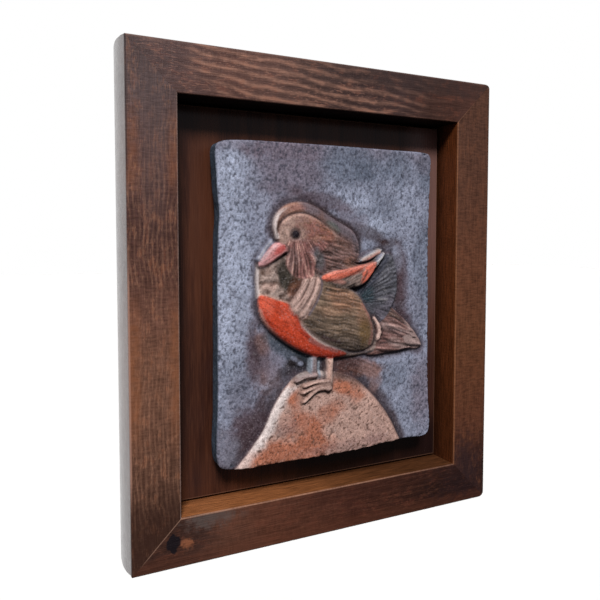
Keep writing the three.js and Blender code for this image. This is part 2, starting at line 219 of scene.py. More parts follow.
# Paints and stains, as red, green and blue out of 255
PAINT = {
    "lavender": (150, 155, 176), "pale lavender": (180, 188, 211), "steel": (108, 116, 134),
    "mauve": (122, 112, 126), "speck": (74, 77, 94), "plum": (86, 64, 70), "umber": (66, 48, 50),
    "slate side": (70, 82, 98), "teal": (52, 66, 74), "blue grey": (84, 90, 104), "ink": (40, 34, 38),
    "russet": (104, 70, 62), "dusty pink": (146, 114, 110),
    "pale stone": (194, 158, 146), "terracotta": (178, 112, 88), "bright clay": (196, 122, 94),
    "lime white": (212, 198, 195), "ridge": (102, 78, 72),
    "crest brown": (150, 112, 98), "crest grey": (106, 96, 104), "moss grey": (96, 102, 98),
    "cheek": (174, 144, 133), "apricot": (150, 102, 86), "rose brown": (152, 102, 98),
    "beak": (214, 148, 148), "beak red": (204, 92, 88), "beak tip": (196, 152, 156),
    "nape": (114, 88, 84), "nape warm": (132, 92, 74), "nape pink": (146, 114, 108),
    "breast": (156, 136, 128), "olive dark": (62, 56, 50), "brown": (94, 64, 50),
    "collar": (200, 168, 158), "groove brown": (92, 62, 54),
    "belly": (204, 74, 46), "belly light": (222, 102, 78), "belly dark": (140, 44, 32),
    "pale line": (200, 160, 146),
    "wing": (124, 104, 88), "wing warm": (154, 116, 94), "wing dark": (84, 72, 64), "gold": (112, 86, 52),
    "back": (80, 80, 88), "back light": (104, 104, 112), "navy": (50, 52, 64),
    "orange": (206, 108, 88), "orange light": (206, 134, 120), "white": (188, 184, 186),
    "feather grey": (120, 104, 98), "feather pink": (172, 146, 138),
    "tail": (136, 102, 97), "tail pale": (168, 144, 140), "tail rose": (120, 84, 80),
    "leg grey": (150, 158, 170), "leg mauve": (130, 118, 124), "leg tan": (180, 150, 140),
    "eye ring": (116, 96, 94), "pupil": (34, 28, 34),
}


def light_value(colour):
    """A paint's red, green and blue as the shader's linear values."""
    c = np.array(colour) / 255
    return np.where(c <= 0.04045, c / 12.92, ((c + 0.055) / 1.055) ** 2.4)


def stain(colour):
    """A stain's colour for a colour socket."""
    return (*light_value(colour), 1)


# Random textures on a plane

def soft_noise(u, v, seed):
    """Smooth random values from -1 to 1, about one bump to each unit of u and v."""
    size = 256
    lattice = np.random.default_rng(seed).uniform(-1, 1, (size, size))
    i, j = np.floor(u).astype(int), np.floor(v).astype(int)
    fu, fv = u - i, v - j
    fu, fv = fu * fu * (3 - 2 * fu), fv * fv * (3 - 2 * fv)
    low = lattice[i % size, j % size] * (1 - fu) + lattice[(i + 1) % size, j % size] * fu
    high = lattice[i % size, (j + 1) % size] * (1 - fu) + lattice[(i + 1) % size, (j + 1) % size] * fu
    return low * (1 - fv) + high * fv


def rough_noise(u, v, seed, octaves=4):
    """Layers of soft noise, each twice as fine and half as strong as the last."""
    total = sum(soft_noise(u * 2 ** k, v * 2 ** k, seed + k) / 2 ** k for k in range(octaves))
    return total / (2 - 2 ** (1 - octaves))


def step_between(low, high, value):
    """A smooth step from 0 at low to 1 at high. It falls if low is the higher."""
    t = np.clip((value - low) / (high - low), 0, 1)
    return t * t * (3 - 2 * t)


# Outlines and distances

def smooth_line(points, steps=6):
    """A closed line drawn smoothly through a few points, by a centripetal spline."""
    here = np.array(points, float)
    before, after, beyond = np.roll(here, 1, 0), np.roll(here, -1, 0), np.roll(here, -2, 0)

    def gap(a, b):
        return np.sqrt(np.linalg.norm(b - a, axis=1))[:, None]

    d0, d1, d2 = gap(before, here), gap(here, after), gap(after, beyond)
    leave = ((here - before) / d0 - (after - before) / (d0 + d1) + (after - here) / d1) * d1
    arrive = ((after - here) / d1 - (beyond - here) / (d1 + d2) + (beyond - after) / d2) * d1
    drawn = []
    for t in np.arange(steps) / steps:
        drawn.append(here * (2 * t ** 3 - 3 * t ** 2 + 1) + leave * (t ** 3 - 2 * t ** 2 + t)
                     + after * (3 * t ** 2 - 2 * t ** 3) + arrive * (t ** 3 - t ** 2))
    return np.stack(drawn, 1).reshape(-1, 2)


def open_line(points, steps=8):
    """A smooth open line through two or more points."""
    knots = np.array(points, float)
    at = np.linspace(0, len(knots) - 1, (len(knots) - 1) * steps + 1)
    padded = np.vstack([2 * knots[0] - knots[1], knots, 2 * knots[-1] - knots[-2]])
    i = np.minimum(at.astype(int), len(knots) - 2)
    t = (at - i)[:, None]
    a, b, c, d = padded[i], padded[i + 1], padded[i + 2], padded[i + 3]
    return 0.5 * (2 * b + (c - a) * t + (2 * a - 5 * b + 4 * c - d) * t ** 2
                  + (3 * b - a - 3 * c + d) * t ** 3)


# Distances from a line are measured only this near to it
REACH = 9


def near_line(x, z, line):
    """Which points lie in the rectangle round a line, drawn REACH wider."""
    low, high = line.min(0) - REACH, line.max(0) + REACH
    return (x > low[0]) & (x < high[0]) & (z > low[1]) & (z < high[1])


def inside_by(x, z, line):
    """How far each point lies inside a closed line. It is negative outside."""
    found = np.full(x.shape, -float(REACH))
    near = near_line(x, z, line)
    px, pz = x[near], z[near]
    closest = np.full(px.shape, np.inf)
    within = np.zeros(px.shape, bool)
    for (ax, az), (bx, bz) in zip(line, np.roll(line, -1, 0)):
        dx, dz = bx - ax, bz - az
        t = np.clip(((px - ax) * dx + (pz - az) * dz) / (dx * dx + dz * dz), 0, 1)
        closest = np.minimum(closest, (px - ax - t * dx) ** 2 + (pz - az - t * dz) ** 2)
        if az != bz:
            within ^= ((az > pz) != (bz > pz)) & (px < dx * (pz - az) / dz + ax)
    found[near] = np.maximum(np.where(within, 1, -1) * np.sqrt(closest), -REACH)
    return found


def along_line(x, z, points):
    """For each point, how far it is from a line and how far along it, from 0 to 1."""
    line = open_line(points)
    away = np.full(x.shape, float(REACH))
    along = np.zeros(x.shape)
    near = near_line(x, z, line)
    px, pz = x[near], z[near]
    closest = np.full(px.shape, np.inf)
    place = np.zeros(px.shape)
    count = len(line) - 1
    for k in range(count):
        (ax, az), (bx, bz) = line[k], line[k + 1]
        dx, dz = bx - ax, bz - az
        t = np.clip(((px - ax) * dx + (pz - az) * dz) / (dx * dx + dz * dz), 0, 1)
        gap = (px - ax - t * dx) ** 2 + (pz - az - t * dz) ** 2
        place = np.where(gap < closest, (k + t) / count, place)
        closest = np.minimum(closest, gap)
    away[near] = np.sqrt(closest)
    along[near] = place
    return away, along


# The carving. A raised form starts a little outside its outline, by its foot
FOOT = 0.6

# A mask that leaves nothing out
ALL_OVER = 1


class Carving:
    """One height and one colour for each vertex of the tile's face."""

    def __init__(self, x, z):
        self.x, self.z = x, z
        self.height = np.zeros(x.shape)
        self.colour = np.tile(light_value(PAINT["lavender"]), (x.size, 1))
        self.ragged = 0.35 * rough_noise(x / 5, z / 5, 11)

    def inside(self, outline):
        """How far inside an outline each point lies."""
        return inside_by(self.x, self.z, smooth_line(outline))

    def strip(self, strip):
        """How far inside a strip each point lies."""
        points, (first, last) = strip
        away, along = along_line(self.x, self.z, points)
        return (first + (last - first) * along) / 2 - away

    def feather(self, root, tip, width):
        """How far inside a pointed feather, and how far along it, from 0 to 1."""
        direction = np.array(tip, float) - root
        length = np.hypot(*direction)
        direction = direction / length
        dx, dz = self.x - root[0], self.z - root[1]
        along = (dx * direction[0] + dz * direction[1]) / length
        across = dz * direction[0] - dx * direction[1]
        half = width / 2 * np.sin(np.pi * np.clip(along, 0, 1) ** 0.76)
        beyond = np.maximum(np.maximum(-along, along - 1), 0) * length
        return half - np.hypot(across, beyond), along

    def crown(self, surface, lift=0):
        """The height of a crowned surface, lifted a little where another form lies on it."""
        (cx, cz), (rx, rz), top, depth = surface
        spread = ((self.x - cx) / rx) ** 2 + ((self.z - cz) / rz) ** 2
        return top - depth + depth * np.sqrt(np.clip(1 - spread, 0, 1)) + lift

    def build_up(self, inside, level, shoulder):
        """Raises what lies inside to a level, with a rounded shoulder. Nothing is lowered."""
        rise = np.sqrt(1 - (1 - np.clip((inside + FOOT) / shoulder, 0, 1)) ** 2)
        self.height += np.clip(level - self.height, 0, None) * rise

    def form(self, name, inside, level, shoulder):
        """Builds up a form, covers it with one paint, and returns the mask that covers it."""
        self.build_up(inside, level, shoulder)
        on = cover(inside)
        self.paint(name, on)
        return on

    def score(self, amount):
        """Cuts grooves, or builds up ridges where the amount is negative."""
        self.height -= amount

    def comb(self, lines, ridge, light):
        """Raises fine lines by a height and lightens them, and darkens the furrows between."""
        self.height += ridge * lines
        self.shade(light * lines)

    def blob(self, x, z, rx, rz, turn=0, soft=0.45):
        """A patch with a soft, ragged edge: 1 at its middle and 0 outside."""
        c, s = math.cos(math.radians(turn)), math.sin(math.radians(turn))
        dx, dz = self.x - x, self.z - z
        spread = np.hypot((dx * c + dz * s) / rx, (dz * c - dx * s) / rz) + self.ragged
        return 1 - step_between(1 - soft, 1 + soft, spread)

    def stroke(self, points, width, soft=0.8):
        """A brush stroke along a line: 1 at its middle and 0 outside."""
        away, _ = along_line(self.x, self.z, points)
        full, bare = (width - soft) / 2, (width + soft) / 2 + 0.2
        return 1 - step_between(full, bare, away + self.ragged * soft)

    def touch(self, name, where, *patches):
        """Paints soft patches inside a mask, each given by its strength and then as a blob."""
        self.paint(name, where * sum(strength * self.blob(*patch) for strength, *patch in patches))

    def draw(self, name, strength, *line):
        """Paints a brush stroke."""
        self.paint(name, strength * self.stroke(*line))

    def paint(self, name, mask):
        """Lays a paint over the others, as thickly as the mask says."""
        self.colour += (light_value(PAINT[name]) - self.colour) * np.clip(mask, 0, 1)[:, None]

    def shade(self, amount):
        """Lightens the paint where the amount is positive and darkens it where it is negative."""
        self.colour *= np.clip(1 + amount, 0.05, 3)[:, None]


def cover(inside, soft=0.9):
    """A mask that covers what lies inside, up to a slightly soft edge."""
    return step_between(-soft / 2, soft / 2, inside)


def contour(inside, offset=0.4, width=0.7):
    """A thin line just outside an outline."""
    return np.exp(-((inside + offset) / width) ** 2)


def strands(along, across, pitch, length, seed):
    """Fine irregular ridges from -1 to 1 that run along one way."""
    waver = soft_noise(along / length, across / (pitch * 4), seed)
    even = np.sin(2 * np.pi * (across / pitch + 0.5 * waver))
    loose = soft_noise(along / length, across * 2 / pitch, seed + 1)
    return np.clip(0.4 * even + 0.95 * loose, -1, 1)


def carve_ground(c):
    """The rough ground of the tile, with its pits, specks and drifts of colour."""
    coarse = rough_noise(c.x / 9, c.z / 9, 21, 3)
    grit = rough_noise(c.x / 1.7, c.z / 2.1, 22, 3)
    fleck = soft_noise(c.x / 0.9, c.z / 1.3, 26) + 0.3 * grit
    pits = step_between(0.3, 0.65, fleck)
    c.height += 0.25 * coarse + 0.2 * grit - 0.32 * pits
    for name, *patches in GROUND_PATCHES:
        c.touch(name, ALL_OVER, *patches)
    c.shade(0.17 * rough_noise(c.x / 6, c.z / 7, 31, 4) - 0.22 * fleck)
    c.paint("speck", 0.5 * pits + 0.36 * step_between(-0.05, -0.75, grit))
    c.paint("speck", 0.34 * step_between(0.3, 0.6, rough_noise(c.x / 1.9, c.z / 2.2, 35, 2)))


def shade_around_bird(c, silhouette):
    """The darker hollowed field that the bird and the rock stand in. The dark band that hugs the
    outlines, and dark marks right of the crest and the dark back, under the bird and along the rock's
    right edge, are partly dark paint and partly painted shade.
    """
    ragged = 2.4 * rough_noise(c.x / 7, c.z / 7, 41, 3)
    near = step_between(-6.5, -0.5, silhouette + ragged)
    # A plum halo and a dark band hug the outlines, partly dark paint and partly painted shade
    c.paint("plum", 0.7 * near)
    c.paint("umber", 0.45 * step_between(-3.6, 0, silhouette + 0.6 * ragged))
    c.score(0.6 * step_between(-6, -1, silhouette + 0.5 * ragged) * cover(-silhouette, 3))
    c.touch("plum", ALL_OVER, (0.85, -51, -32, 7, 19, 8), (0.8, -58, -76, 11, 22, -35))
    c.touch("umber", ALL_OVER, (0.5, -51, -27, 3.6, 9, 5))
    c.touch("dusty pink", ALL_OVER, (0.5, -48, -23, 4, 8, 20), (0.45, -43, -46, 8, 9))
    c.touch("mauve", ALL_OVER, (0.6, -41, -37, 8, 8))
    # The dark band along the rock's right edge is partly painted shade
    c.draw("umber", 0.7, [(2, -42), (16, -47), (30, -58), (42, -72), (50, -88), (55, -99)], 8, 5)
    c.draw("umber", 0.6, [(-30, -41), (-42, -54), (-50, -68), (-62, -84), (-72, -97)], 9, 6)
    # Dark marks right of the dark back and the crest, partly painted shade
    c.touch("umber", ALL_OVER, (0.8, 52, 4, 4.6, 24, 4), (0.7, 27, 44, 14, 4.4, -20),
            (0.6, 43, 37, 9, 3.6, 12))
    c.touch("plum", ALL_OVER, (0.7, 54, 16, 5, 22, 5), (0.6, 56, -14, 6, 8), (0.6, -6, 64, 22, 5, -14))
    c.touch("mauve", ALL_OVER, (0.2, -47, 60, 6, 9), (0.4, 22, 52, 6, 4), (0.5, 10, 56, 8, 5, -30))
    c.touch("russet", ALL_OVER, (0.9, 17, -43, 20, 6, -12))
    c.touch("dusty pink", ALL_OVER, (0.8, 29, -46, 8, 5.5, -25), (0.5, 34, -55, 4, 8, -30))
    # Painted shadow under the bird
    c.touch("umber", ALL_OVER, (0.6, 10, -40, 14, 3.6, -4))
    c.touch("teal", ALL_OVER, (0.9, -28, -30, 19, 4.6, -33))
    c.touch("blue grey", ALL_OVER, (0.8, -36, -27, 7, 4, -35), (0.6, -28, -33, 6, 3.4, -20))
    c.touch("ink", ALL_OVER, (0.85, -23, -38, 6.5, 4.4, -20), (0.6, -32, -41, 4, 6, -40))
    c.touch("lavender", ALL_OVER, (0.7, -22.5, -38, 2, 1.4, -30), (0.5, -27, -34.5, 2.4, 1.2, -30))
    ring = 3.4 - np.hypot(c.x + 23, (c.z + 37.5) * 1.4)
    c.score(0.6 * contour(ring) - 0.8 * c.blob(-23, -37.5, 4, 2.6, -15))
    hatch = strands(c.x + 0.3 * c.z, c.z + 0.45 * c.x, 2.3, 7, 45) * c.blob(22, -44, 20, 8, -12)
    c.comb(hatch, 0.22, 0.28)
    c.touch("dusty pink", ALL_OVER, (0.45, 31, -49, 6, 5))
    c.touch("pale lavender", ALL_OVER, (0.3, 20, 34, 3, 3), (0.3, 50, 25, 4, 9), (0.3, -72, -86, 8, 11))


def carve_rock(c):
    """The rock, pale at its left edge with pale paint and a painted highlight, dark along its right edge
    with painted shade, blotched with warm clay and pitted.
    """
    inside = c.inside(ROCK)
    bevel = 5.5 + 1.5 * soft_noise(c.x / 9, c.z / 9, 51)
    on = c.form("pale stone", inside, c.crown(ROCK_CROWN), bevel)
    blotch = rough_noise(c.x / 8, c.z / 8, 52, 4)
    fleck = soft_noise(c.x / 0.9, c.z / 1.1, 56)
    warm = (c.blob(-30, -56, 5, 9, 25) + c.blob(-20, -80, 9, 17, 42) + c.blob(10, -56, 14, 5, -22)
            + c.blob(-46, -92, 14, 6, 30) + c.blob(-22, -92, 22, 7) + 0.8 * c.blob(-6, -72, 9, 6, 20))
    c.paint("terracotta", on * np.clip(warm * (0.85 + 0.6 * blotch), 0, 1))
    c.touch("bright clay", on, (0.6, 6, -55, 7, 3.4, -10), (0.6, -31, -54, 3.4, 6, 25),
            (0.6, -52, -92, 5, 5))
    c.touch("dusty pink", on, (0.5, 14, -94, 34, 4), (0.5, -34, -76, 8, 5, 30), (0.35, 32, -84, 8, 12))
    c.paint("brown", on * 0.22 * step_between(0.1, 0.5, blotch) * warm)
    c.touch("pale stone", on, (0.6, -14, -62, 8, 4, 15), (0.6, -36, -66, 5, 8, 35))
    # The left edge is pale, partly as pale paint and partly as a painted highlight on the side facing the
    # light
    left = step_between(8, -14, c.x) * on
    worn = step_between(7, 3, inside + 1.8 * blotch)
    c.paint("lime white", left * worn * (0.45 + 0.55 * step_between(-92, -84, c.z)))
    c.touch("terracotta", on, (0.6, -36, -87, 7, 5, 20), (0.5, 2, -67, 6, 5), (0.5, 17, -62, 5, 5))
    c.touch("pale stone", on, (0.8, 32, -77, 8, 7, -45), (0.7, -28, -49, 4, 3, 20))
    # More pale paint and painted highlight on the lit left edge
    c.touch("lime white", on, (0.5, -50, -80, 3, 10, -38), (0.6, -44.5, -68, 3.4, 7, -30))
    c.touch("pale stone", on, (0.6, 30, -80, 6, 5), (0.6, -28, -48, 3, 2.4))
    # The right edge is darkened with painted shade, on the side turned from the light
    right = step_between(-6, 4, c.x) * on
    c.paint("ridge", right * 0.95 * step_between(7, 2, inside + blotch) * step_between(-60, -48, c.z))
    c.paint("umber", right * 0.5 * step_between(2.4, 0.2, inside + 0.7 * blotch))
    grit = rough_noise(c.x / 1.9, c.z / 1.9, 53, 3)
    holes = soft_noise(c.x / 1.1, c.z / 0.9, 57) + 0.35 * grit
    pits = step_between(0.4, 0.72, holes) * on * step_between(1, 4, inside)
    c.score(0.35 * pits - 0.14 * grit * on)
    c.shade(on * (0.2 * blotch + 0.2 * grit + 0.16 * fleck + 0.04))
    c.paint("brown", 0.75 * pits)
    # A painted shadow just outside the right edge
    c.paint("umber", 0.6 * contour(inside, 0.8, 0.9) * right)


def carve_tail(c):
    """The tail, with its fan of feathers and the pale ends of the lowest."""
    on = c.form("tail", c.inside(TAIL), c.crown(TAIL_CROWN), 6)
    reach, turn = np.hypot(97 - c.x, c.z + 36), np.arctan2(c.z + 36, 97 - c.x)
    fine = strands(reach, turn * 50, 2.2, 8, 61)
    c.touch("tail rose", on, (0.6, 38, -22, 8, 8))
    c.touch("wing dark", on, (0.75, 46, -11.6, 10, 3.6, -38), (0.5, 51, -23.6, 4, 1.6, -28))
    for number, (root, tip, width, lift) in enumerate(TAIL_FEATHERS):
        edge, along = c.feather(root, tip, width)
        line = contour(edge, 0.5, 0.6)
        c.build_up(edge, c.crown(TAIL_CROWN, lift), 2.6)
        c.paint("tail" if number != 2 else "tail pale", 0.6 * cover(edge) * (number > 0))
        c.paint("umber", 0.85 * line * step_between(0.02, 0.2, along) * on)
        c.score(0.4 * line * (along > 0) * (along < 1))
    c.draw("nape pink", 0.6 * on, [(37, -13.6), (50, -18.4), (61, -23)], 1.8)
    c.draw("umber", 0.8 * on, [(41, -19.6), (50, -24.4), (58, -27), (63, -27.4)], 1.3)
    edge, along = c.feather(*TAIL_TIP)
    tip = cover(edge)
    quiet = on * (1 - 0.8 * tip)
    c.paint("umber", 0.75 * contour(edge, 0.5, 0.6) * (along > 0.1) * (along < 1))
    c.comb(fine * quiet, 0.45, 0.48)
    c.paint("tail pale", 0.8 * on * step_between(58, 62.5, c.x + 0.35 * (c.z + 30)))
    streaks = c.blob(46, -28, 7, 2.4, -20) + c.blob(52, -32, 8, 1.8, -8)
    c.paint("tail pale", 0.95 * tip + 0.5 * quiet * streaks)


def carve_dark_back(c):
    """The dark back behind the wing, hatched."""
    on = c.form("back", c.inside(DARK_BACK), c.crown(BACK_CROWN), 2.6)
    c.touch("back light", on, (0.45, 41, 20, 6, 9, -20), (0.45, 40, 5, 7, 5), (0.4, 36, 12, 4, 4))
    c.touch("mauve", on, (0.35, 36, -9, 6, 5), (0.3, 42, -1, 5, 5))
    c.touch("teal", on, (0.95, 24, 4.5, 6, 5.4))
    c.draw("navy", 0.75 * on, [(19, 7), (30, 15.5), (39, 27)], 5.4, 2)
    reach, turn = np.hypot(c.x - 13, c.z + 2), np.arctan2(c.z + 2, c.x - 13)
    hatch = strands(reach, turn * 26 + 0.12 * reach, 2.1, 5, 71)
    c.comb(hatch * on, 0.36, 0.6)
    # Painted highlight: a small white glint on the dark back
    c.draw("white", 0.45 * on, [(33, 0.6), (40, 0)], 0.9)


def carve_body(c):
    """The body, with its lumpy breast and the red belly brushed on."""
    on = c.form("breast", c.inside(BODY), c.crown(BODY_CROWN), 8)
    lumps = np.clip(1.9 * rough_noise(c.x / 2.7, c.z / 2.7, 81, 3), -1, 1)
    breast = on * step_between(-22, -27, c.x) * step_between(-2, 4, c.z)
    c.paint("brown", breast * 0.65 * step_between(0, 0.6, -lumps))
    hollow = c.blob(-35.5, 18.5, 4.6, 8, 14)
    c.paint("olive dark", on * np.clip(0.95 * hollow + 0.75 * c.blob(-31, 12, 8, 5, -35), 0, 1))
    c.touch("brown", on, (1, -28.4, 11, 3.8, 7, -30))
    c.touch("apricot", on, (0.3, -31, 7.6, 2.4, 3, -30))
    c.score(0.8 * hollow * on - 0.5 * lumps * breast)
    c.shade(0.36 * lumps * breast)
    c.draw("groove brown", 0.6 * on, [(-24, 15.5), (-28, 8), (-33, 2.5)], 2.6)
    c.touch("brown", breast, (0.45, -47, 20.6, 3.4, 3))
    c.touch("pale stone", breast, (0.5, -45, 11, 5, 3))
    # A raised rim on the breast's left edge, painted pale as a highlight
    rim = c.stroke([(-51.4, 24), (-52, 14), (-51.6, 5)], 1.6, 0.9)
    c.score(-1.2 * rim)
    c.paint("lime white", 0.8 * rim)

    # Painted shade under the body
    shaded_underside = on * step_between(-27, -31, c.z) * step_between(2, 10, c.x)
    c.paint("ink", 0.3 * shaded_underside)
    c.draw("crest grey", 0.7 * shaded_underside, [(9, -32.6), (20, -33.8), (30, -34)], 1.1)

    belly = c.inside(BELLY)
    red = c.form("belly", belly, c.crown(BODY_CROWN, 0.5), 7.5)
    brush = strands(c.x - 0.7 * c.z, c.z + 0.75 * c.x, 1.7, 9, 86)
    c.touch("belly light", red, (0.8, -47, 0, 5, 6), (0.5, -34, -6, 8, 4, -45))
    margin = step_between(4, 0.6, belly + 1.4 * c.ragged) * step_between(2, -6, c.z)
    c.paint("belly dark", red * 0.75 * margin)
    furrows = step_between(-0.2, -0.7, brush)
    c.paint("belly dark", red * (0.5 * step_between(-30, -8, c.x) + 0.25 * furrows))
    rim = step_between(1.7, 0.6, belly) * step_between(-20, -13, c.z) * (c.z < -2)
    c.paint("pale line", red * 0.4 * rim)
    c.touch("groove brown", red, (0.4, 7, -33, 6, 2.4, -10))
    c.draw("dusty pink", 0.45 * red, [(-18, -22.6), (-9, -27), (1, -31)], 2.6, 1.6)
    c.comb(brush * red, 0.12, 0.13)
    c.paint("pale line", 0.75 * contour(belly, 0.5, 0.7) * on * (c.x < -2) * (c.z > -28))


def carve_wing(c):
    """The folded wing, with its feather lines and the pale stripe at its end."""
    inside = c.inside(WING)
    c.score(0.5 * contour(inside, 1.2, 1.1) * cover(c.inside(BODY)))
    on = c.form("wing", inside, c.crown(BODY_CROWN, 1.3), 5)
    across = c.z + 0.16 * c.x + 0.004 * (c.x - 2) * np.abs(c.x - 2)
    fine = strands(c.x, across, 2.1, 6, 91)
    broad = strands(c.x, across, 4.8, 16, 93)
    c.touch("wing warm", on, (0.9, 6, 2, 13, 7, -20), (0.6, 20, -9, 6, 8, 30), (0.4, -4, -5, 10, 4))
    c.touch("wing dark", on, (0.6, -15, -12, 10, 7, -35), (0.95, 2, -25.6, 22, 5.4, -12))
    c.touch("gold", on, (0.75, 22, -20, 5, 8, 8))
    c.draw("rose brown", 0.55 * on, [(20, -2), (26, -12), (28, -21), (26, -28)], 2.6, 1.4)
    fold = c.stroke([(-11, 12), (-2, 11), (8, 7.6), (15, 5)], 2.4, 1.6)
    c.paint("wing dark", on * (0.6 * fold + 0.4 * c.blob(16, 2, 4, 3, -40)))
    strength = on * (1 - 0.65 * c.blob(24, -16, 7, 15, 8))
    c.score(-0.4 * fine * strength - 0.15 * broad * strength)
    c.shade((0.56 * fine + 0.1 * broad) * strength)
    c.draw("umber", 0.75 * on, [(-10, -21), (-5, -23), (3, -25.6)], 1.5)
    line = contour(inside, 0.9, 0.8)
    # Painted shade along the wing's bottom edge
    c.paint("ink", 0.6 * line * step_between(-24, -29, c.z) * step_between(-2, 6, c.x))
    c.draw("white", 0.4, [(-24, -13), (-17, -20), (-9, -25.4), (1, -29.4), (9, -31.6)], 1)
    c.paint("crest grey", 0.8 * line * step_between(8, 14, c.x) * step_between(-14, -10, c.z))
    line = contour(inside, 1.2, 0.9)
    # Painted shade along the wing's bottom right edge
    c.paint("umber", 0.75 * line * step_between(-6, -12, c.z) * step_between(20, 26, c.x))
    stripe = c.strip(FLANK_STRIPE)
    c.paint("umber", 0.7 * contour(stripe, 0.9, 0.9) * step_between(-30, -26, c.z))
    c.form("collar", stripe, c.crown(TAIL_CROWN, 1.6), 1.6)


def carve_collar(c):
    """The pale collar of three plumes, on a band that reaches past them."""
    wider = [(points, (first + 1.6, last + 1.6)) for points, (first, last) in COLLAR]
    band = np.max([c.strip(strip) for strip in wider], axis=0)
    body = cover(c.inside(BODY))
    fan = np.arctan2(c.x + 2, 40 - c.z)
    fine = strands(c.z, fan * 36, 1.5, 8, 101)
    c.paint("groove brown", 0.7 * contour(band, 0.3, 0.8) * body)
    on = c.form("collar", band, c.crown(BODY_CROWN, 0.8), 1.8)
    for strip in COLLAR:
        edge = c.strip(strip)
        line = contour(edge, 0.3, 0.5)
        c.build_up(edge, c.crown(BODY_CROWN, 1.2), 2.2)
        c.paint("groove brown", 0.6 * line * cover(band, 2.4))
        c.score(0.3 * line * on)
    c.comb(fine * on, 0.16, 0.3)
    c.touch("collar", body, (0.8, -28, -2, 4.6, 4, -45))
    c.draw("groove brown", 0.6, [(-23.6, 3), (-26, -1), (-27.6, -2.6)], 0.9, 0.6)
    c.draw("crest grey", 0.8, [(-10.4, 17), (-11, 9), (-14.4, 1), (-19.6, -6.6)], 1.2)


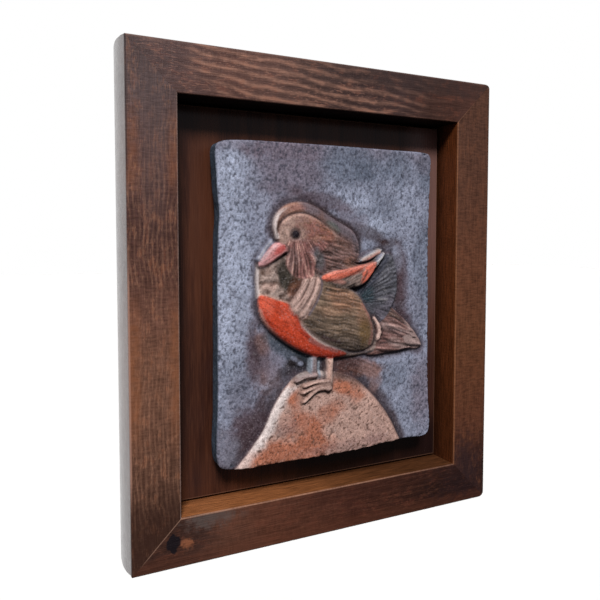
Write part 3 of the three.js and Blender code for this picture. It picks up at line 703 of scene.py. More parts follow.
def carve_head(c):
    """The crest, the nape with its hair, the mottled face and the plumes under it."""
    crest, face = c.inside(CREST), c.inside(FACE)
    on = c.form("nape", crest, c.crown(HEAD_CROWN), 4)
    roll = on * cover(-face)
    c.touch("crest brown", roll, (1, -28, 57.6, 15, 6, 8))
    c.touch("crest grey", roll, (0.85, -17, 59, 8, 4, -20), (0.3, -38, 55, 4, 4))
    c.touch("rose brown", roll, (0.4, -26, 59, 6, 2, 4))
    c.touch("crest grey", roll, (0.9, 5, 47.6, 15, 5, -33), (0.5, 16, 38, 4, 9))
    c.touch("moss grey", roll, (0.8, -2, 47.6, 6, 2.4, -33))
    combing = strands(c.x - 0.5 * c.z, crest, 1.9, 12, 111)
    c.comb(combing * roll, 0.16, 0.2)

    nape = on * step_between(-2.5, 0.5, -face) * step_between(44, 39, c.z + 0.3 * c.x)
    fall = c.z + 0.3 * c.x + 0.002 * c.x * np.abs(c.x)
    hair = strands(c.x, fall, 1.9, 4.5, 113)
    c.touch("nape warm", nape, (0.5, 11, 25, 5, 4), (0.4, 2, 38, 10, 3, -25))
    c.touch("nape pink", nape, (0.75, -3, 24.6, 6, 4), (0.35, 6, 33, 10, 4, -20))
    c.score(-0.42 * hair * nape)
    c.shade((0.66 * hair - 0.08) * nape)
    # Painted shadow along the crest's upper right edge
    c.draw("umber", 0.85,
           [(-16, 62.6), (-6, 57.6), (2, 52.8), (12, 48), (18.4, 41.8), (20.2, 34)], 3, 2.4)
    c.draw("crest grey", 0.55, [(16.8, 41), (18.6, 34), (19, 27)], 1.2)

    upper = step_between(40, 42.5, c.z)
    c.score(0.7 * contour(face, 0.6, 0.8) * on * upper)
    c.paint("umber", 0.8 * contour(face, 0.7, 0.8) * on * upper)
    right = step_between(-14, 0, c.x)
    c.build_up(face, c.crown(HEAD_CROWN, 1.1), 4 + 8 * right)
    skin = cover(face, 0.9 + 8 * right) * step_between(6, -2, c.x + c.ragged * 8)
    mottle = rough_noise(c.x / 2.6, c.z / 2.6, 121, 4)
    c.paint("cheek", skin)
    c.touch("apricot", skin, (0.95, -12, 44, 11, 8, -30), (0.7, -3, 41, 8, 3, -35))
    c.touch("rose brown", skin, (0.4, -17, 45, 5, 4), (0.4, -24, 38, 7, 2.4))
    c.touch("crest brown", skin, (0.55, -24, 50, 7, 3.6))
    blotch = rough_noise(c.x / 2.2 + c.z / 5, c.z / 2.2, 127, 3)
    c.paint("rose brown", skin * 0.6 * step_between(0.12, 0.4, blotch) * step_between(-33, -27, c.x))
    c.paint("dusty pink", skin * 0.6 * step_between(-0.15, -0.45, blotch))
    c.shade(skin * (0.42 * mottle + 0.2 * soft_noise(c.x / 0.9, c.z / 0.9, 125)))
    c.paint("brown", skin * 0.55 * step_between(0.15, 0.45, mottle) * step_between(-34, -26, c.x))
    c.paint("pale line", skin * 0.4 * step_between(1.8, 0.6, face) * step_between(46, 51, c.z))

    plumes = skin * step_between(40.5, 36, c.z + 0.9 * c.ragged) * step_between(-36, -33, c.x)
    turn = np.arctan2(c.x + 29, 52 - c.z)
    comb = strands(c.z, turn * 26, 1.9, 9, 123)
    c.paint("rose brown", 0.85 * plumes)
    c.paint("dusty pink", plumes * (0.85 * c.blob(-30, 27, 4, 7) + 0.3 * step_between(0.1, 0.8, comb)))
    c.paint("pale line", plumes * 0.6 * step_between(0.3, 0.8, comb))
    c.paint("plum", plumes * 0.5 * step_between(-0.25, -0.7, comb))
    c.touch("crest grey", on, (0.8, -11.6, 27, 3.8, 7.4, 18), (0.5, -16, 33, 3, 3))
    c.touch("moss grey", on, (0.4, -12, 28, 3, 6, 18))
    c.comb(comb * plumes, 0.42, 0.5)
    c.score(-0.4 * hair * skin * right)
    c.shade(0.55 * hair * skin * step_between(-22, -8, c.x))
    c.paint("groove brown", 0.5 * plumes * step_between(-0.35, -0.75, comb))
    c.draw("crest grey", 0.5, [(-13, 27), (-10.6, 22)], 0.8)

    # A raised rim on the crest's left edge, painted pale as a highlight
    rim = c.stroke([(-39.6, 40.6), (-40.8, 46), (-40.2, 51.6), (-36.8, 56.8), (-31.4, 59.8)], 1.5, 0.9)
    c.score(-0.4 * rim)
    c.paint("lime white", 0.8 * rim * step_between(61, 53, c.z))
    c.draw("brown", 0.6, [(-39.4, 44), (-38.8, 49.6), (-36, 53.4)], 1.1)


def carve_eye(c):
    """The eye, a round ball in a grooved ring."""
    out = np.hypot(c.x - EYE[0], c.z - EYE[1])
    c.score(0.4 * contour(out, -3.2, 0.6) - 0.2 * contour(out, -4.3, 0.6))
    c.paint("eye ring", 0.5 * step_between(5, 3, out + c.ragged))
    ball = EYE_RADIUS ** 2 - out ** 2
    dome = EYE_TOP - EYE_RADIUS + np.sqrt(np.clip(ball, 0, None))
    c.height = np.where(ball > 0, np.maximum(c.height, dome), c.height)
    c.paint("ink", 0.55 * contour(out, -2.9, 0.6))
    c.paint("pupil", step_between(2.7, 2.1, out))


def carve_beak(c):
    """The beak, and the pale ridge of clay pushed up above it."""
    inside = c.inside(BEAK)
    c.paint("umber", 0.85 * contour(inside, 0.7, 0.9) * step_between(38, 35, c.z))
    above = [(-51, 28), (-46.9, 33.9), (-42.6, 38.8)]
    c.draw("lavender", 0.8, above, 2.6, 1.6)
    c.draw("white", 0.5, above, 1, 0.8)
    c.score(-2.2 * c.stroke(above, 2.2, 1.6))
    on = c.form("beak", inside, c.crown(HEAD_CROWN, 1.2), 2.6)
    c.paint("beak tip", on * 0.6 * step_between(-43, -48, c.x))
    c.touch("beak red", on, (0.9, -38.4, 33, 5, 1.8, 38))
    # Painted highlight along the beak's upper left edge
    c.draw("white", 0.35 * on, [(-50, 27), (-45.4, 32), (-41, 36.4)], 1.6, 1.2)
    # Painted shade on the beak's bottom and back edges, the side turned from the light
    below = step_between(0, -1.4, c.z - 63.5 - 0.76 * c.x)
    c.paint("groove brown", on * 0.8 * step_between(1.3, 0.4, inside) * below)
    c.draw("groove brown", 0.35 * on, [(-49, 25.2), (-42, 29.6), (-35, 33.6)], 0.6, 0.5)


def carve_sail(c):
    """The raised orange feather, with the pale tip of another behind it."""
    inside = c.inside(SAIL)
    root, tip, width, lift = SAIL_FEATHERS[0]
    upper, _ = c.feather(root, tip, width)
    c.build_up(upper, c.crown(SAIL_CROWN, lift), 1.8)
    c.paint("ink", 0.5 * contour(upper, 0.8, 0.9))
    c.paint("blue grey", cover(upper))
    c.draw("white", 0.7, [(19, 26.4), (26, 29.8), (35, 33)], 1.6)
    c.draw("mauve", 0.6, [(18, 28.4), (23, 30.8), (28, 32.6)], 1.4, 0.8)
    c.draw("feather pink", 0.9, [(20, 26.4), (28, 29.6), (34, 32)], 2)
    c.draw("orange", 0.4, [(23, 26.8), (33, 31)], 0.9)
    c.score(0.4 * contour(inside, 0.8, 0.9))
    on = c.form("feather grey", inside, c.crown(SAIL_CROWN), 3.6)
    fine = strands(c.x + 0.4 * c.z, c.z - 0.5 * c.x, 1.7, 6, 131)
    c.comb(fine * on, 0.2, 0.4)
    vane = np.zeros(c.x.shape)
    for root, tip, width, lift in SAIL_FEATHERS[1:]:
        edge, _ = c.feather(root, tip, width)
        c.build_up(edge, c.crown(SAIL_CROWN, lift), 3)
        vane = np.maximum(vane, cover(edge))
    vane = vane * (c.z > 0.52 * c.x + 8.6)
    shaft = c.stroke([(-8, 15.4), (4, 17.8), (17, 20.8)], 4.6, 1.2)
    patch = c.blob(22.8, 17.4, 7.6, 3.8, 52, 0.2)
    c.paint("orange", on * np.max([vane, shaft, patch], axis=0))
    c.draw("orange light", 0.7 * on, [(-6, 18.2), (6, 20), (18, 22.2), (29, 24.6)], 1.2)
    c.touch("orange light", on, (0.5, 1, 13.4, 5, 1.6, -12))
    c.draw("feather pink", 0.6 * on, [(9, 13.4), (15, 17.6), (20, 20.4)], 1.4, 0.8)
    c.draw("feather pink", 0.5 * on, [(14, 12.4), (18, 16)], 1.2, 0.7)
    c.draw("groove brown", 0.8 * on, [(17, 11.4), (20, 15.4), (22, 19.6)], 1, 0.6)
    c.draw("groove brown", 0.6 * on, [(6, 15.4), (13, 18.6), (19, 19.6)], 0.9, 0.6)
    c.draw("groove brown", 0.55 * on, [(24, 21), (29, 23.4)], 0.8, 0.6)
    c.touch("lavender", on, (0.7, 33.4, 27.4, 4.4, 2.4, 42))
    c.draw("white", 0.9 * on, [(31.6, 24.6), (35.6, 27.8), (39, 31)], 3, 1)
    c.comb(fine * on, 0.1, 0.15)
    # Painted shadow just under the sail's bottom edge
    sail_shadow_line = [(-11, 15), (-6, 12.8), (1, 10.4), (8, 8), (15, 8.8), (22, 12.2), (30, 19.4)]
    c.draw("ink", 0.25 * cover(-inside, 1.6), sail_shadow_line, 1.5, 0.9)
    c.draw("olive dark", 0.4 * on, [(0, 12), (8, 10), (14, 10.4)], 1.1)


def carve_legs(c):
    """The two legs below the body and the toes on the rock."""
    under = -c.inside(BODY) - 0.4
    far, near = (np.minimum(c.strip(leg), under) for leg in (FAR_LEG, NEAR_LEG))
    c.form("leg mauve", far, FAR_LEG_TOP, 2.2)
    left_edge = c.stroke([(-16.4, -35.4), (-16.6, -40), (-17, -45)], 1.8)
    right_edge = c.stroke([(-9.4, -36), (-9.8, -42), (-10, -47)], 1.6)
    c.score(-0.8 * (left_edge + right_edge))
    c.paint("leg grey", left_edge + right_edge)
    c.draw("leg mauve", 0.7, [(-11.6, -46.4), (-8, -48.4)], 3)
    between, beside = c.stroke([(-12.2, -35), (-11.6, -43)], 1), c.stroke([(-6.8, -35), (-7.2, -44)], 0.9)
    c.paint("ink", 0.8 * between + 0.5 * beside)
    c.draw("feather grey", 0.5, [(-14, -36), (-14.2, -43)], 1)
    c.build_up(near, NEAR_LEG_TOP, 2.6)
    c.paint("umber", 0.7 * contour(near, 0.7, 0.7))
    c.paint("leg tan", cover(near))
    # Painted highlight down the near leg's left side
    c.draw("pale line", 0.6, [(-4.4, -37), (-5, -50)], 1.4)
    for toe in TOES:
        edge = c.strip(toe)
        c.paint("groove brown", 0.5 * contour(edge, 0.5, 0.7))
        c.score(0.4 * contour(edge, 0.6, 0.7))
        c.build_up(edge, TOE_TOP, 2)
        c.paint("leg tan", cover(edge, 1.3))
    c.draw("leg mauve", 0.6, TOES[0][0], 2.4)
    # Painted shadow under the near foot and its lowest toe
    c.draw("umber", 0.7, [(-1.6, -53), (-2.6, -56.4), (-12, -57), (-18, -60.6), (-22, -62.6)], 1.1)
    c.draw("feather grey", 0.5, [(-20, -45.4), (-26, -47.6)], 1.4)


def carve_tile(x, z):
    """The whole carving, from the ground up, at points on the tile's face."""
    c = Carving(x, z)
    carve_ground(c)
    silhouettes = [c.inside(line) for line in (CREST, BEAK, BODY, DARK_BACK, TAIL, SAIL, ROCK)]
    silhouettes += [c.strip(FAR_LEG), c.strip(NEAR_LEG)]
    shade_around_bird(c, np.max(silhouettes, axis=0))
    for carve in (carve_rock, carve_legs, carve_tail, carve_dark_back, carve_body, carve_wing,
                  carve_collar, carve_head, carve_beak, carve_eye, carve_sail):
        carve(c)
    on_bird = cover(np.max(silhouettes[:6], axis=0))
    wear = rough_noise(x / 2.2, z / 2.2, 151, 3)
    c.height += 0.08 * wear * on_bird
    c.shade((0.12 * wear + 0.08 * soft_noise(x / 0.9, z / 0.9, 155)) * on_bird)
    return c


def soften(grid, reach):
    """A height or colour grid averaged over its neighbours, reach cells each way."""
    for axis in (0, 1):
        pad = [(0, 0)] * grid.ndim
        pad[axis] = (reach, reach)
        wide = np.pad(grid, pad, mode="edge")
        shifts = range(2 * reach + 1)
        grid = sum(np.take(wide, range(k, k + grid.shape[axis]), axis) for k in shifts) / len(shifts)
    return grid


# Tools for modelling

def start(name):
    """Names the primitive just added and puts its place and size into its mesh."""
    piece = bpy.context.active_object
    piece.name = piece.data.name = name
    bpy.ops.object.transform_apply(location=True, rotation=True, scale=True)
    return piece


def edit(piece):
    """Opens one piece alone in edit mode."""
    bpy.ops.object.select_all(action="DESELECT")
    piece.select_set(True)
    bpy.context.view_layer.objects.active = piece
    bpy.ops.object.mode_set(mode="EDIT")


def pick(piece, kind, wanted):
    """In edit mode, selects only the faces or edges that are wanted."""
    bpy.ops.mesh.select_mode(type="FACE" if kind == "faces" else "EDGE")
    bpy.ops.mesh.select_all(action="DESELECT")
    mesh = bmesh.from_edit_mesh(piece.data)
    for part in getattr(mesh, kind):
        if wanted(part):
            part.select_set(True)
    bmesh.update_edit_mesh(piece.data)


def edge_middle(edge):
    return (edge.verts[0].co + edge.verts[1].co) / 2


def runs_along_x(edge):
    direction = edge.verts[1].co - edge.verts[0].co
    return abs(direction.x) > 0.99 * direction.length


def cut(point, normal, clear=False):
    """Cuts the open piece by a plane, and clears what the normal points to if asked."""
    bpy.ops.mesh.select_all(action="SELECT")
    bpy.ops.mesh.bisect(plane_co=point, plane_no=normal, clear_outer=clear, use_fill=clear)


def vertices_of(piece):
    """The places of a mesh's vertices, one row each, in metres."""
    places = np.empty(len(piece.data.vertices) * 3)
    piece.data.vertices.foreach_get("co", places)
    return places.reshape(-1, 3)


def place_vertices(piece, places):
    piece.data.vertices.foreach_set("co", places.ravel())
    piece.data.update()


# The frame

def make_rail(name, node, length, outer, turn, wear):
    """A rail along x with its outer edge up, mitred at both ends, then turned into its place.

    Wear holds the radii of its outer corners, at its far end along x and at its near end.
    """
    eased = (
        (outer, -RAIL_DEPTH, OUTER_EASE, 5),
        (outer - RAIL_WIDTH, -RAIL_DEPTH, INNER_EASE, 4),
        (outer, 0, BACK_EASE, 2),
        (outer - RAIL_WIDTH - LEDGE_WIDTH, 0, BACK_EASE, 2),
    )
    bpy.ops.object.select_all(action="DESELECT")
    middle = (0, -RAIL_DEPTH / 2 * MM, (outer - RAIL_WIDTH / 2) * MM)
    size = (length * MM, RAIL_DEPTH * MM, RAIL_WIDTH * MM)
    bpy.ops.mesh.primitive_cube_add(size=1, location=middle, scale=size)
    rail = start(name)
    edit(rail)
    cut((0, -LEDGE_DEPTH * MM, 0), (0, 1, 0))

    def on_ledge(face):
        return face.normal.z < -0.9 and face.calc_center_median().y > -LEDGE_DEPTH * MM

    pick(rail, "faces", on_ledge)
    bpy.ops.mesh.extrude_region_move(TRANSFORM_OT_translate={"value": (0, 0, -LEDGE_WIDTH * MM)})
    for k in range(1, DEPTH_CUTS):
        cut((0, -RAIL_DEPTH * k / DEPTH_CUTS * MM, 0), (0, 1, 0))
    for z, y, ease, segments in eased:
        def on_arris(edge):
            _, middle_y, middle_z = edge_middle(edge)
            close = abs(middle_z - z * MM) < CLOSE and abs(middle_y - y * MM) < CLOSE
            return close and runs_along_x(edge)

        pick(rail, "edges", on_arris)
        bpy.ops.mesh.bevel(offset=ease * MM, segments=segments, affect="EDGES")
    pick(rail, "edges", runs_along_x)
    bpy.ops.mesh.subdivide(number_cuts=RAIL_CUTS)
    for side, radius in zip((1, -1), wear):
        tip = side * (length / 2 - MITRE_GAP * math.sqrt(2))
        cut((tip * MM, 0, outer * MM), (side, 0, -1), clear=True)
        corner = (side * (length / 2 - radius), outer - radius)
        for angle in CORNER_FLATS:
            way = (side * math.cos(math.radians(angle)), math.sin(math.radians(angle)))
            touch = [corner[k] + radius * way[k] for k in (0, 1)]
            cut((touch[0] * MM, 0, touch[1] * MM), (way[0], 0, way[1]), clear=True)
    bpy.ops.object.mode_set(mode="OBJECT")
    swell_outer_side(rail, length, outer)
    rail.rotation_euler = (0, turn, 0)
    rail.location = (0, 0, MIDDLE_Z * MM)
    bpy.ops.object.transform_apply(location=True, rotation=True, scale=True)
    plane_unevenly(rail)
    bpy.ops.object.shade_smooth_by_angle(angle=math.radians(WOOD_SMOOTH))
    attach(rail, "root")
    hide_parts(node)
    return rail


def swell_outer_side(rail, length, outer):
    """Bows the outer side out at the middle of its depth, and draws the mitred ends out with it."""
    places = vertices_of(rail)
    x, y, z = places.T / MM
    depth = np.clip(-y / (RAIL_DEPTH - OUTER_EASE), 0, 1)
    bow = SIDE_BOW * 4 * depth * (1 - depth) * (z > outer - 2)
    places[:, 0] += bow * x / (length / 2) * MM
    places[:, 2] += bow * MM
    place_vertices(rail, places)


def plane_unevenly(rail):
    """Leaves the faint hollows of a hand plane in the front face."""
    places = vertices_of(rail)
    x, y, z = places.T / MM
    hollow = 0.5 + 0.5 * rough_noise(x / 38, z / 38, 161, 3)
    places[:, 1] += np.where(y < -RAIL_DEPTH + 3, PLANE_HOLLOW * hollow, 0) * MM
    place_vertices(rail, places)


def make_panel():
    """The panel, with its front edge eased and its face slightly hollow."""
    low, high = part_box("back_panel")
    bpy.ops.object.select_all(action="DESELECT")
    bpy.ops.mesh.primitive_cube_add(size=1, location=(low + high) / 2, scale=high - low)
    panel = start("recessed_panel")
    edit(panel)
    pick(panel, "edges", lambda edge: edge_middle(edge).y < low.y + CLOSE)
    bpy.ops.mesh.bevel(offset=PANEL_EASE * MM, segments=4, affect="EDGES")
    pick(panel, "faces", lambda face: face.normal.y < -0.99)
    bpy.ops.mesh.subdivide(number_cuts=PANEL_CUTS)
    bpy.ops.object.mode_set(mode="OBJECT")
    places = vertices_of(panel)
    x, y, z = places.T / MM
    half_width = high.x / MM
    inner = (np.abs(x) < half_width - 2) & (np.abs(z - MIDDLE_Z) < half_width + 18)
    on_face = inner & (y < low.y / MM + 0.01)
    hollow = 1 + soft_noise(x / 30, z / 60, 171)
    places[:, 1] += np.where(on_face, PANEL_HOLLOW * hollow, 0) * MM
    place_vertices(panel, places)
    bpy.ops.object.shade_smooth_by_angle(angle=math.radians(WOOD_SMOOTH))
    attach(panel, "root")
    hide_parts("back_panel")
    return panel


# The tile

def tile_side(line, start_corner, end_corner, places):
    """Points along the tile's outline from one corner to another, at places from 0 to 1."""
    def nearest(corner):
        return int(np.argmin(np.hypot(*(line - corner).T)))

    first, last = nearest(start_corner), nearest(end_corner)
    forward = (last - first) % len(line)
    backward = (first - last) % len(line)
    if forward < backward:
        walk = line[(first + np.arange(forward + 1)) % len(line)]
    else:
        walk = line[(first - np.arange(backward + 1)) % len(line)]
    run = np.concatenate([[0], np.cumsum(np.hypot(*np.diff(walk, axis=0).T))])
    return np.stack([np.interp(places, run / run[-1], walk[:, k]) for k in (0, 1)], -1)


def tile_grid(u, v):
    """Places on the tile's face for u and v from 0 to 1, evenly drawn out to its wavy edges."""
    line = smooth_line(TILE_OUTLINE, 24)
    low_left, low_right, top_left, top_right = (-77, -98), (77, -98), (-77, 98.6), (76, 98.6)
    left, right = tile_side(line, low_left, top_left, v), tile_side(line, low_right, top_right, v)
    bottom, top = tile_side(line, low_left, low_right, u), tile_side(line, top_left, top_right, u)
    corners = [tile_side(line, a, b, 0) for a, b in (
        (low_left, top_left), (low_right, top_right), (top_left, low_left), (top_right, low_right))]
    u, v = u[:, None], v[:, None]
    across = left * (1 - u) + right * u
    upward = bottom * (1 - v) + top * v
    flat = (corners[0] * (1 - u) * (1 - v) + corners[1] * u * (1 - v)
            + corners[2] * (1 - u) * v + corners[3] * u * v)
    return across + upward - flat


def make_tile():
    """The tile, one closed mesh: its carved face, then its sides and its back."""
    bpy.ops.object.select_all(action="DESELECT")
    bpy.ops.mesh.primitive_grid_add(x_subdivisions=TILE_ACROSS, y_subdivisions=TILE_UP, size=1)
    tile = start("carved_tile")
    flat = vertices_of(tile)
    u, v = flat[:, 0] + 0.5, flat[:, 1] + 0.5
    face = tile_grid(u, v)
    x, z = face.T
    carving = carve_tile(x, z)

    order = np.lexsort((np.round(u, 6), np.round(v, 6)))
    shape = (len(np.unique(np.round(v, 6))), len(np.unique(np.round(u, 6))))
    height = carving.height[order].reshape(shape)
    height = 0.55 * height + 0.45 * soften(height, 1)
    carving.height[order] = height.ravel()

    # Hollows are darkened, partly by dark paint settled in them and partly as painted shade, and ridges
    # are worn pale
    hollow = soften(height, 4) - height
    wash_and_cavity_shade = 1 - 0.5 * np.clip(hollow, -0.6, 0.6)
    carving.colour[order] *= wash_and_cavity_shade.reshape(-1, 1)

    edge = inside_by(x, z, smooth_line(TILE_OUTLINE, 8))
    rim = np.minimum(np.minimum(u, 1 - u), np.minimum(v, 1 - v)) < CLOSE
    edge = np.where(rim, 0, np.maximum(edge, 0))
    worn = (1.5 + 1.1 * np.clip(rough_noise(x / 5, z / 5, 181, 3), -0.6, 1)) * np.where(x > 70, 0.6, 1)
    round_off = 1 - np.sqrt(1 - (1 - np.clip(edge / worn, 0, 1)) ** 2)
    chips = 1.2 * step_between(0.25, 0.6, rough_noise(x / 4, z / 4, 185, 3)) * step_between(3.4, 1, edge)
    level = carving.height - chips * step_between(0, 0.5, edge)
    carving.height = np.minimum(level, TILE_TOP) * (1 - round_off) - ARRIS * round_off
    places = np.stack([x, TILE_GROUND - carving.height, z + MIDDLE_Z], 1) * MM
    place_vertices(tile, places)

    paint = tile.data.attributes.new("paint", "FLOAT_COLOR", "POINT")
    colours = np.concatenate([carving.colour, np.ones((x.size, 1))], 1)
    paint.data.foreach_set("color", colours.ravel())

    edit(tile)
    bpy.ops.mesh.select_mode(type="EDGE")
    bpy.ops.mesh.select_all(action="DESELECT")
    bpy.ops.mesh.select_non_manifold()
    ring_depth = (TILE_THICKNESS - ARRIS) / SIDE_RINGS
    for _ in range(SIDE_RINGS):
        bpy.ops.mesh.extrude_region_move(TRANSFORM_OT_translate={"value": (0, ring_depth * MM, 0)})
    bpy.ops.mesh.edge_face_add()
    bpy.ops.object.mode_set(mode="OBJECT")
    roughen_sides(tile)
    bpy.ops.object.shade_smooth_by_angle(angle=math.radians(CLAY_SMOOTH))
    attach(tile, "root")
    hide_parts("relief_tile")
    return tile


def roughen_sides(tile):
    """Gives the tile's sides the drag marks of cut clay, and paints them dark slate blue."""
    places = vertices_of(tile)
    normals = np.empty(places.size)
    tile.data.vertices.foreach_get("normal", normals)
    normals = normals.reshape(-1, 3)
    x, y, z = places.T / MM
    depth = y - TILE_GROUND
    around = np.arctan2(z - MIDDLE_Z, x) * 80
    side = step_between(ARRIS, ARRIS + 1, depth)
    last = step_between(TILE_THICKNESS - 1.6, TILE_THICKNESS, depth)
    inward = side * (0.25 + 0.35 * rough_noise(around / 3.5, depth / 2.5, 191, 3)) + 0.8 * last
    places[:, 0] -= normals[:, 0] * inward * MM
    places[:, 2] -= normals[:, 2] * inward * MM
    place_vertices(tile, places)
    paint = tile.data.attributes["paint"]
    colours = np.empty(len(places) * 4)
    paint.data.foreach_get("color", colours)
    colours = colours.reshape(-1, 4)
    uneven = 1 + 0.3 * rough_noise(around / 4, depth / 3, 195, 3)
    side_slate = light_value(PAINT["slate side"]) * uneven[:, None]
    mask = step_between(0.3, ARRIS + 0.8, depth)[:, None]
    colours[:, :3] += (side_slate - colours[:, :3]) * mask
    paint.data.foreach_set("color", colours.ravel())


# Materials

class Wire:
    """One value or colour in a material. Sums on values add their Math nodes."""

    def __init__(self, tree, socket):
        self.tree, self.socket = tree, socket

    @staticmethod
    def make(tree, kind, settings, inputs, output=0):
        """Adds a node of a kind, with its settings, and then the values or links of its inputs."""
        node = tree.nodes.new("ShaderNode" + kind)
        for name, value in settings.items():
            if name == "stops":
                ramp = node.color_ramp
                while len(ramp.elements) < len(value):
                    ramp.elements.new(1)
                for element, (position, colour) in zip(ramp.elements, value):
                    element.position, element.color = position, colour
            else:
                setattr(node, name, value)
        for name, value in inputs.items():
            if isinstance(value, Wire):
                tree.links.new(value.socket, node.inputs[name])
            else:
                node.inputs[name].default_value = value
        return Wire(tree, node.outputs[output]) if node.outputs else None

    def math(self, operation, first, second=0.0):
        return Wire.make(self.tree, "Math", {"operation": operation}, {0: first, 1: second})

    def __add__(self, other):
        return self.math("ADD", self, other)

    def __radd__(self, other):
        return self.math("ADD", other, self)

    def __sub__(self, other):
        return self.math("SUBTRACT", self, other)

    def __rsub__(self, other):
        return self.math("SUBTRACT", other, self)

    def __mul__(self, other):
        return self.math("MULTIPLY", self, other)

    def __rmul__(self, other):
        return self.math("MULTIPLY", other, self)

    def __truediv__(self, other):
        return self.math("DIVIDE", self, other)

    def __pow__(self, other):
        return self.math("POWER", self, other)

    def __abs__(self):
        return self.math("ABSOLUTE", self)

    def sine(self):
        return self.math("SINE", self)

    def larger(self, other):
        return self.math("MAXIMUM", self, other)

    def fade(self, low, high):
        """0 below low and 1 above high, or the other way round if low is the higher."""
        rising = Wire.make(self.tree, "MapRange", {"interpolation_type": "SMOOTHSTEP"},
                           {"Value": self, "From Min": min(low, high), "From Max": max(low, high)})
        return rising if low < high else 1 - rising


def new_material(name):
    material = bpy.data.materials.new(name)
    material.use_nodes = True
    tree = material.node_tree
    tree.nodes.clear()
    return material, tree


def noise(tree, vector, scale, detail, roughness):
    inputs = {"Vector": vector, "Scale": scale, "Detail": detail, "Roughness": roughness}
    return Wire.make(tree, "TexNoise", {"noise_dimensions": "3D"}, inputs)


def mix(tree, factor, first, second, kind="MIX"):
    settings = {"data_type": "RGBA", "blend_type": kind, "clamp_factor": True}
    return Wire.make(tree, "Mix", settings, {0: factor, 6: first, 7: second}, 2)


def tinted(tree, colour, *layers):
    """A colour with stains over it, one over the other. Each layer is a strength and a stain."""
    for strength, stained in layers:
        colour = mix(tree, strength, colour, stain(stained))
    return colour


def scaled(tree, colour, amount):
    """A colour made lighter or darker by a value."""
    colour = colour if isinstance(colour, Wire) else colour[:3]
    return Wire.make(tree, "VectorMath", {"operation": "SCALE"}, {0: colour, "Scale": amount})


def parts_of(tree, vector):
    """The x, y and z of a vector."""
    split = Wire.make(tree, "SeparateXYZ", {}, {0: vector}).socket.node
    return [Wire(tree, output) for output in split.outputs]


def object_place(tree):
    """The place on the object in millimetres, as x, y and height above the middle of the frame."""
    x, y, z = parts_of(tree, Wire.make(tree, "TexCoord", {}, {}, 3))
    scale = 1 / MM
    return x * scale, y * scale, z * scale - MIDDLE_Z


def vector_of(tree, x, y, z):
    return Wire.make(tree, "CombineXYZ", {}, {0: x, 1: y, 2: z})


def drawn_noise(tree, place, across, up, detail, roughness=0.6):
    """Noise with its bumps drawn out upwards, by its scale across and up."""
    x, y, z = place
    return noise(tree, vector_of(tree, x * across, y * across, z * up), 1, detail, roughness)


def past_box(x, z, half_width, half_height):
    """How far a place lies past a rectangle about the middle. It is negative inside."""
    return (abs(x) - half_width).larger(abs(z) - half_height)


def finish_surface(tree, colour, roughness, bump, bump_depth, coat=0.0, specular=0.5):
    """Joins colour, roughness and bump height to a shader. Bump depth is in metres."""
    normal = Wire.make(tree, "Bump", {}, {"Strength": 1.0, "Distance": bump_depth, "Height": bump})
    shader = Wire.make(tree, "BsdfPrincipled", {}, {
        "Base Color": colour, "Roughness": roughness, "Normal": normal,
        "Coat Weight": coat, "Coat Roughness": COAT_ROUGHNESS, "Specular IOR Level": specular,
    })
    Wire.make(tree, "OutputMaterial", {}, {"Surface": shader})


# Stained pine of each rail. Its tones are the stain, by millimetres along it from its middle. Pale
# rings show in it with a pitch, a slope and a strength, and cross figure with another strength.
# Rings and flecks fade out past plain_from.
RAIL_WOOD = {
    "top": dict(
        tones=((-128, (82, 64, 64)), (-100, (98, 73, 70)), (-70, (100, 69, 62)), (-40, (102, 73, 66)),
               (-10, (84, 62, 57)), (20, (72, 52, 49)), (50, (72, 52, 50)), (84, (70, 45, 38)),
               (110, (84, 53, 44)), (128, (84, 54, 44))),
        upright=False, pale=(182, 134, 114), warm=(134, 76, 54), pitch=5.2, slope=0.085, rings=1.0,
        cross=0.1, seed=3.1, plain_from=34),
    "bottom": dict(
        tones=((-128, (62, 37, 29)), (-90, (64, 42, 36)), (-70, (94, 60, 47)), (-40, (92, 54, 40)),
               (-10, (82, 47, 35)), (20, (70, 37, 28)), (50, (62, 33, 24)), (84, (42, 21, 16)),
               (104, (40, 20, 19)), (128, (46, 25, 24))),
        upright=False, pale=(112, 70, 52), warm=(98, 48, 34), pitch=3.6, slope=0.02, rings=0.3,
        cross=0.2, seed=7.7, plain_from=200),
    "left": dict(
        tones=((-150, (62, 38, 30)), (-122, (66, 42, 33)), (-100, (88, 59, 47)), (-66, (102, 69, 55)),
               (-30, (116, 79, 63)), (-8, (112, 75, 62)), (20, (88, 57, 49)), (50, (80, 51, 45)),
               (84, (98, 68, 63)), (112, (98, 79, 78)), (150, (82, 64, 64))),
        upright=True, pale=(166, 122, 98), warm=(150, 90, 58), pitch=2.6, slope=0.004, rings=0.5,
        cross=0.4, seed=12.3, plain_from=200),
    "right": dict(
        tones=((-150, (50, 30, 28)), (-112, (56, 32, 28)), (-84, (93, 54, 37)), (-40, (100, 61, 39)),
               (20, (102, 62, 43)), (90, (90, 57, 43)), (150, (86, 56, 44))),
        upright=True, pale=(120, 80, 58), warm=(108, 62, 40), pitch=3.3, slope=0.0, rings=0.2,
        cross=0.45, seed=21.9, plain_from=200),
}

# Painted light and shade for the faces of the rails that look into the recess: near black as shade on the
# top, dark on the left, lit on the bottom ledge and on the right
RECESS_LIGHT_AND_SHADE = {
    "top": (12, 9, 11), "bottom": (164, 102, 60), "left": (52, 34, 30), "right": (116, 60, 28),
}

# Inner arrises of the front, worn pale and lit with a painted highlight: lightest on the left and bottom
# rails, dark on the top rail
ARRIS_WEAR_AND_HIGHLIGHT = {
    "top": (96, 66, 56), "bottom": (172, 126, 102), "left": (164, 138, 130), "right": (150, 98, 66),
}

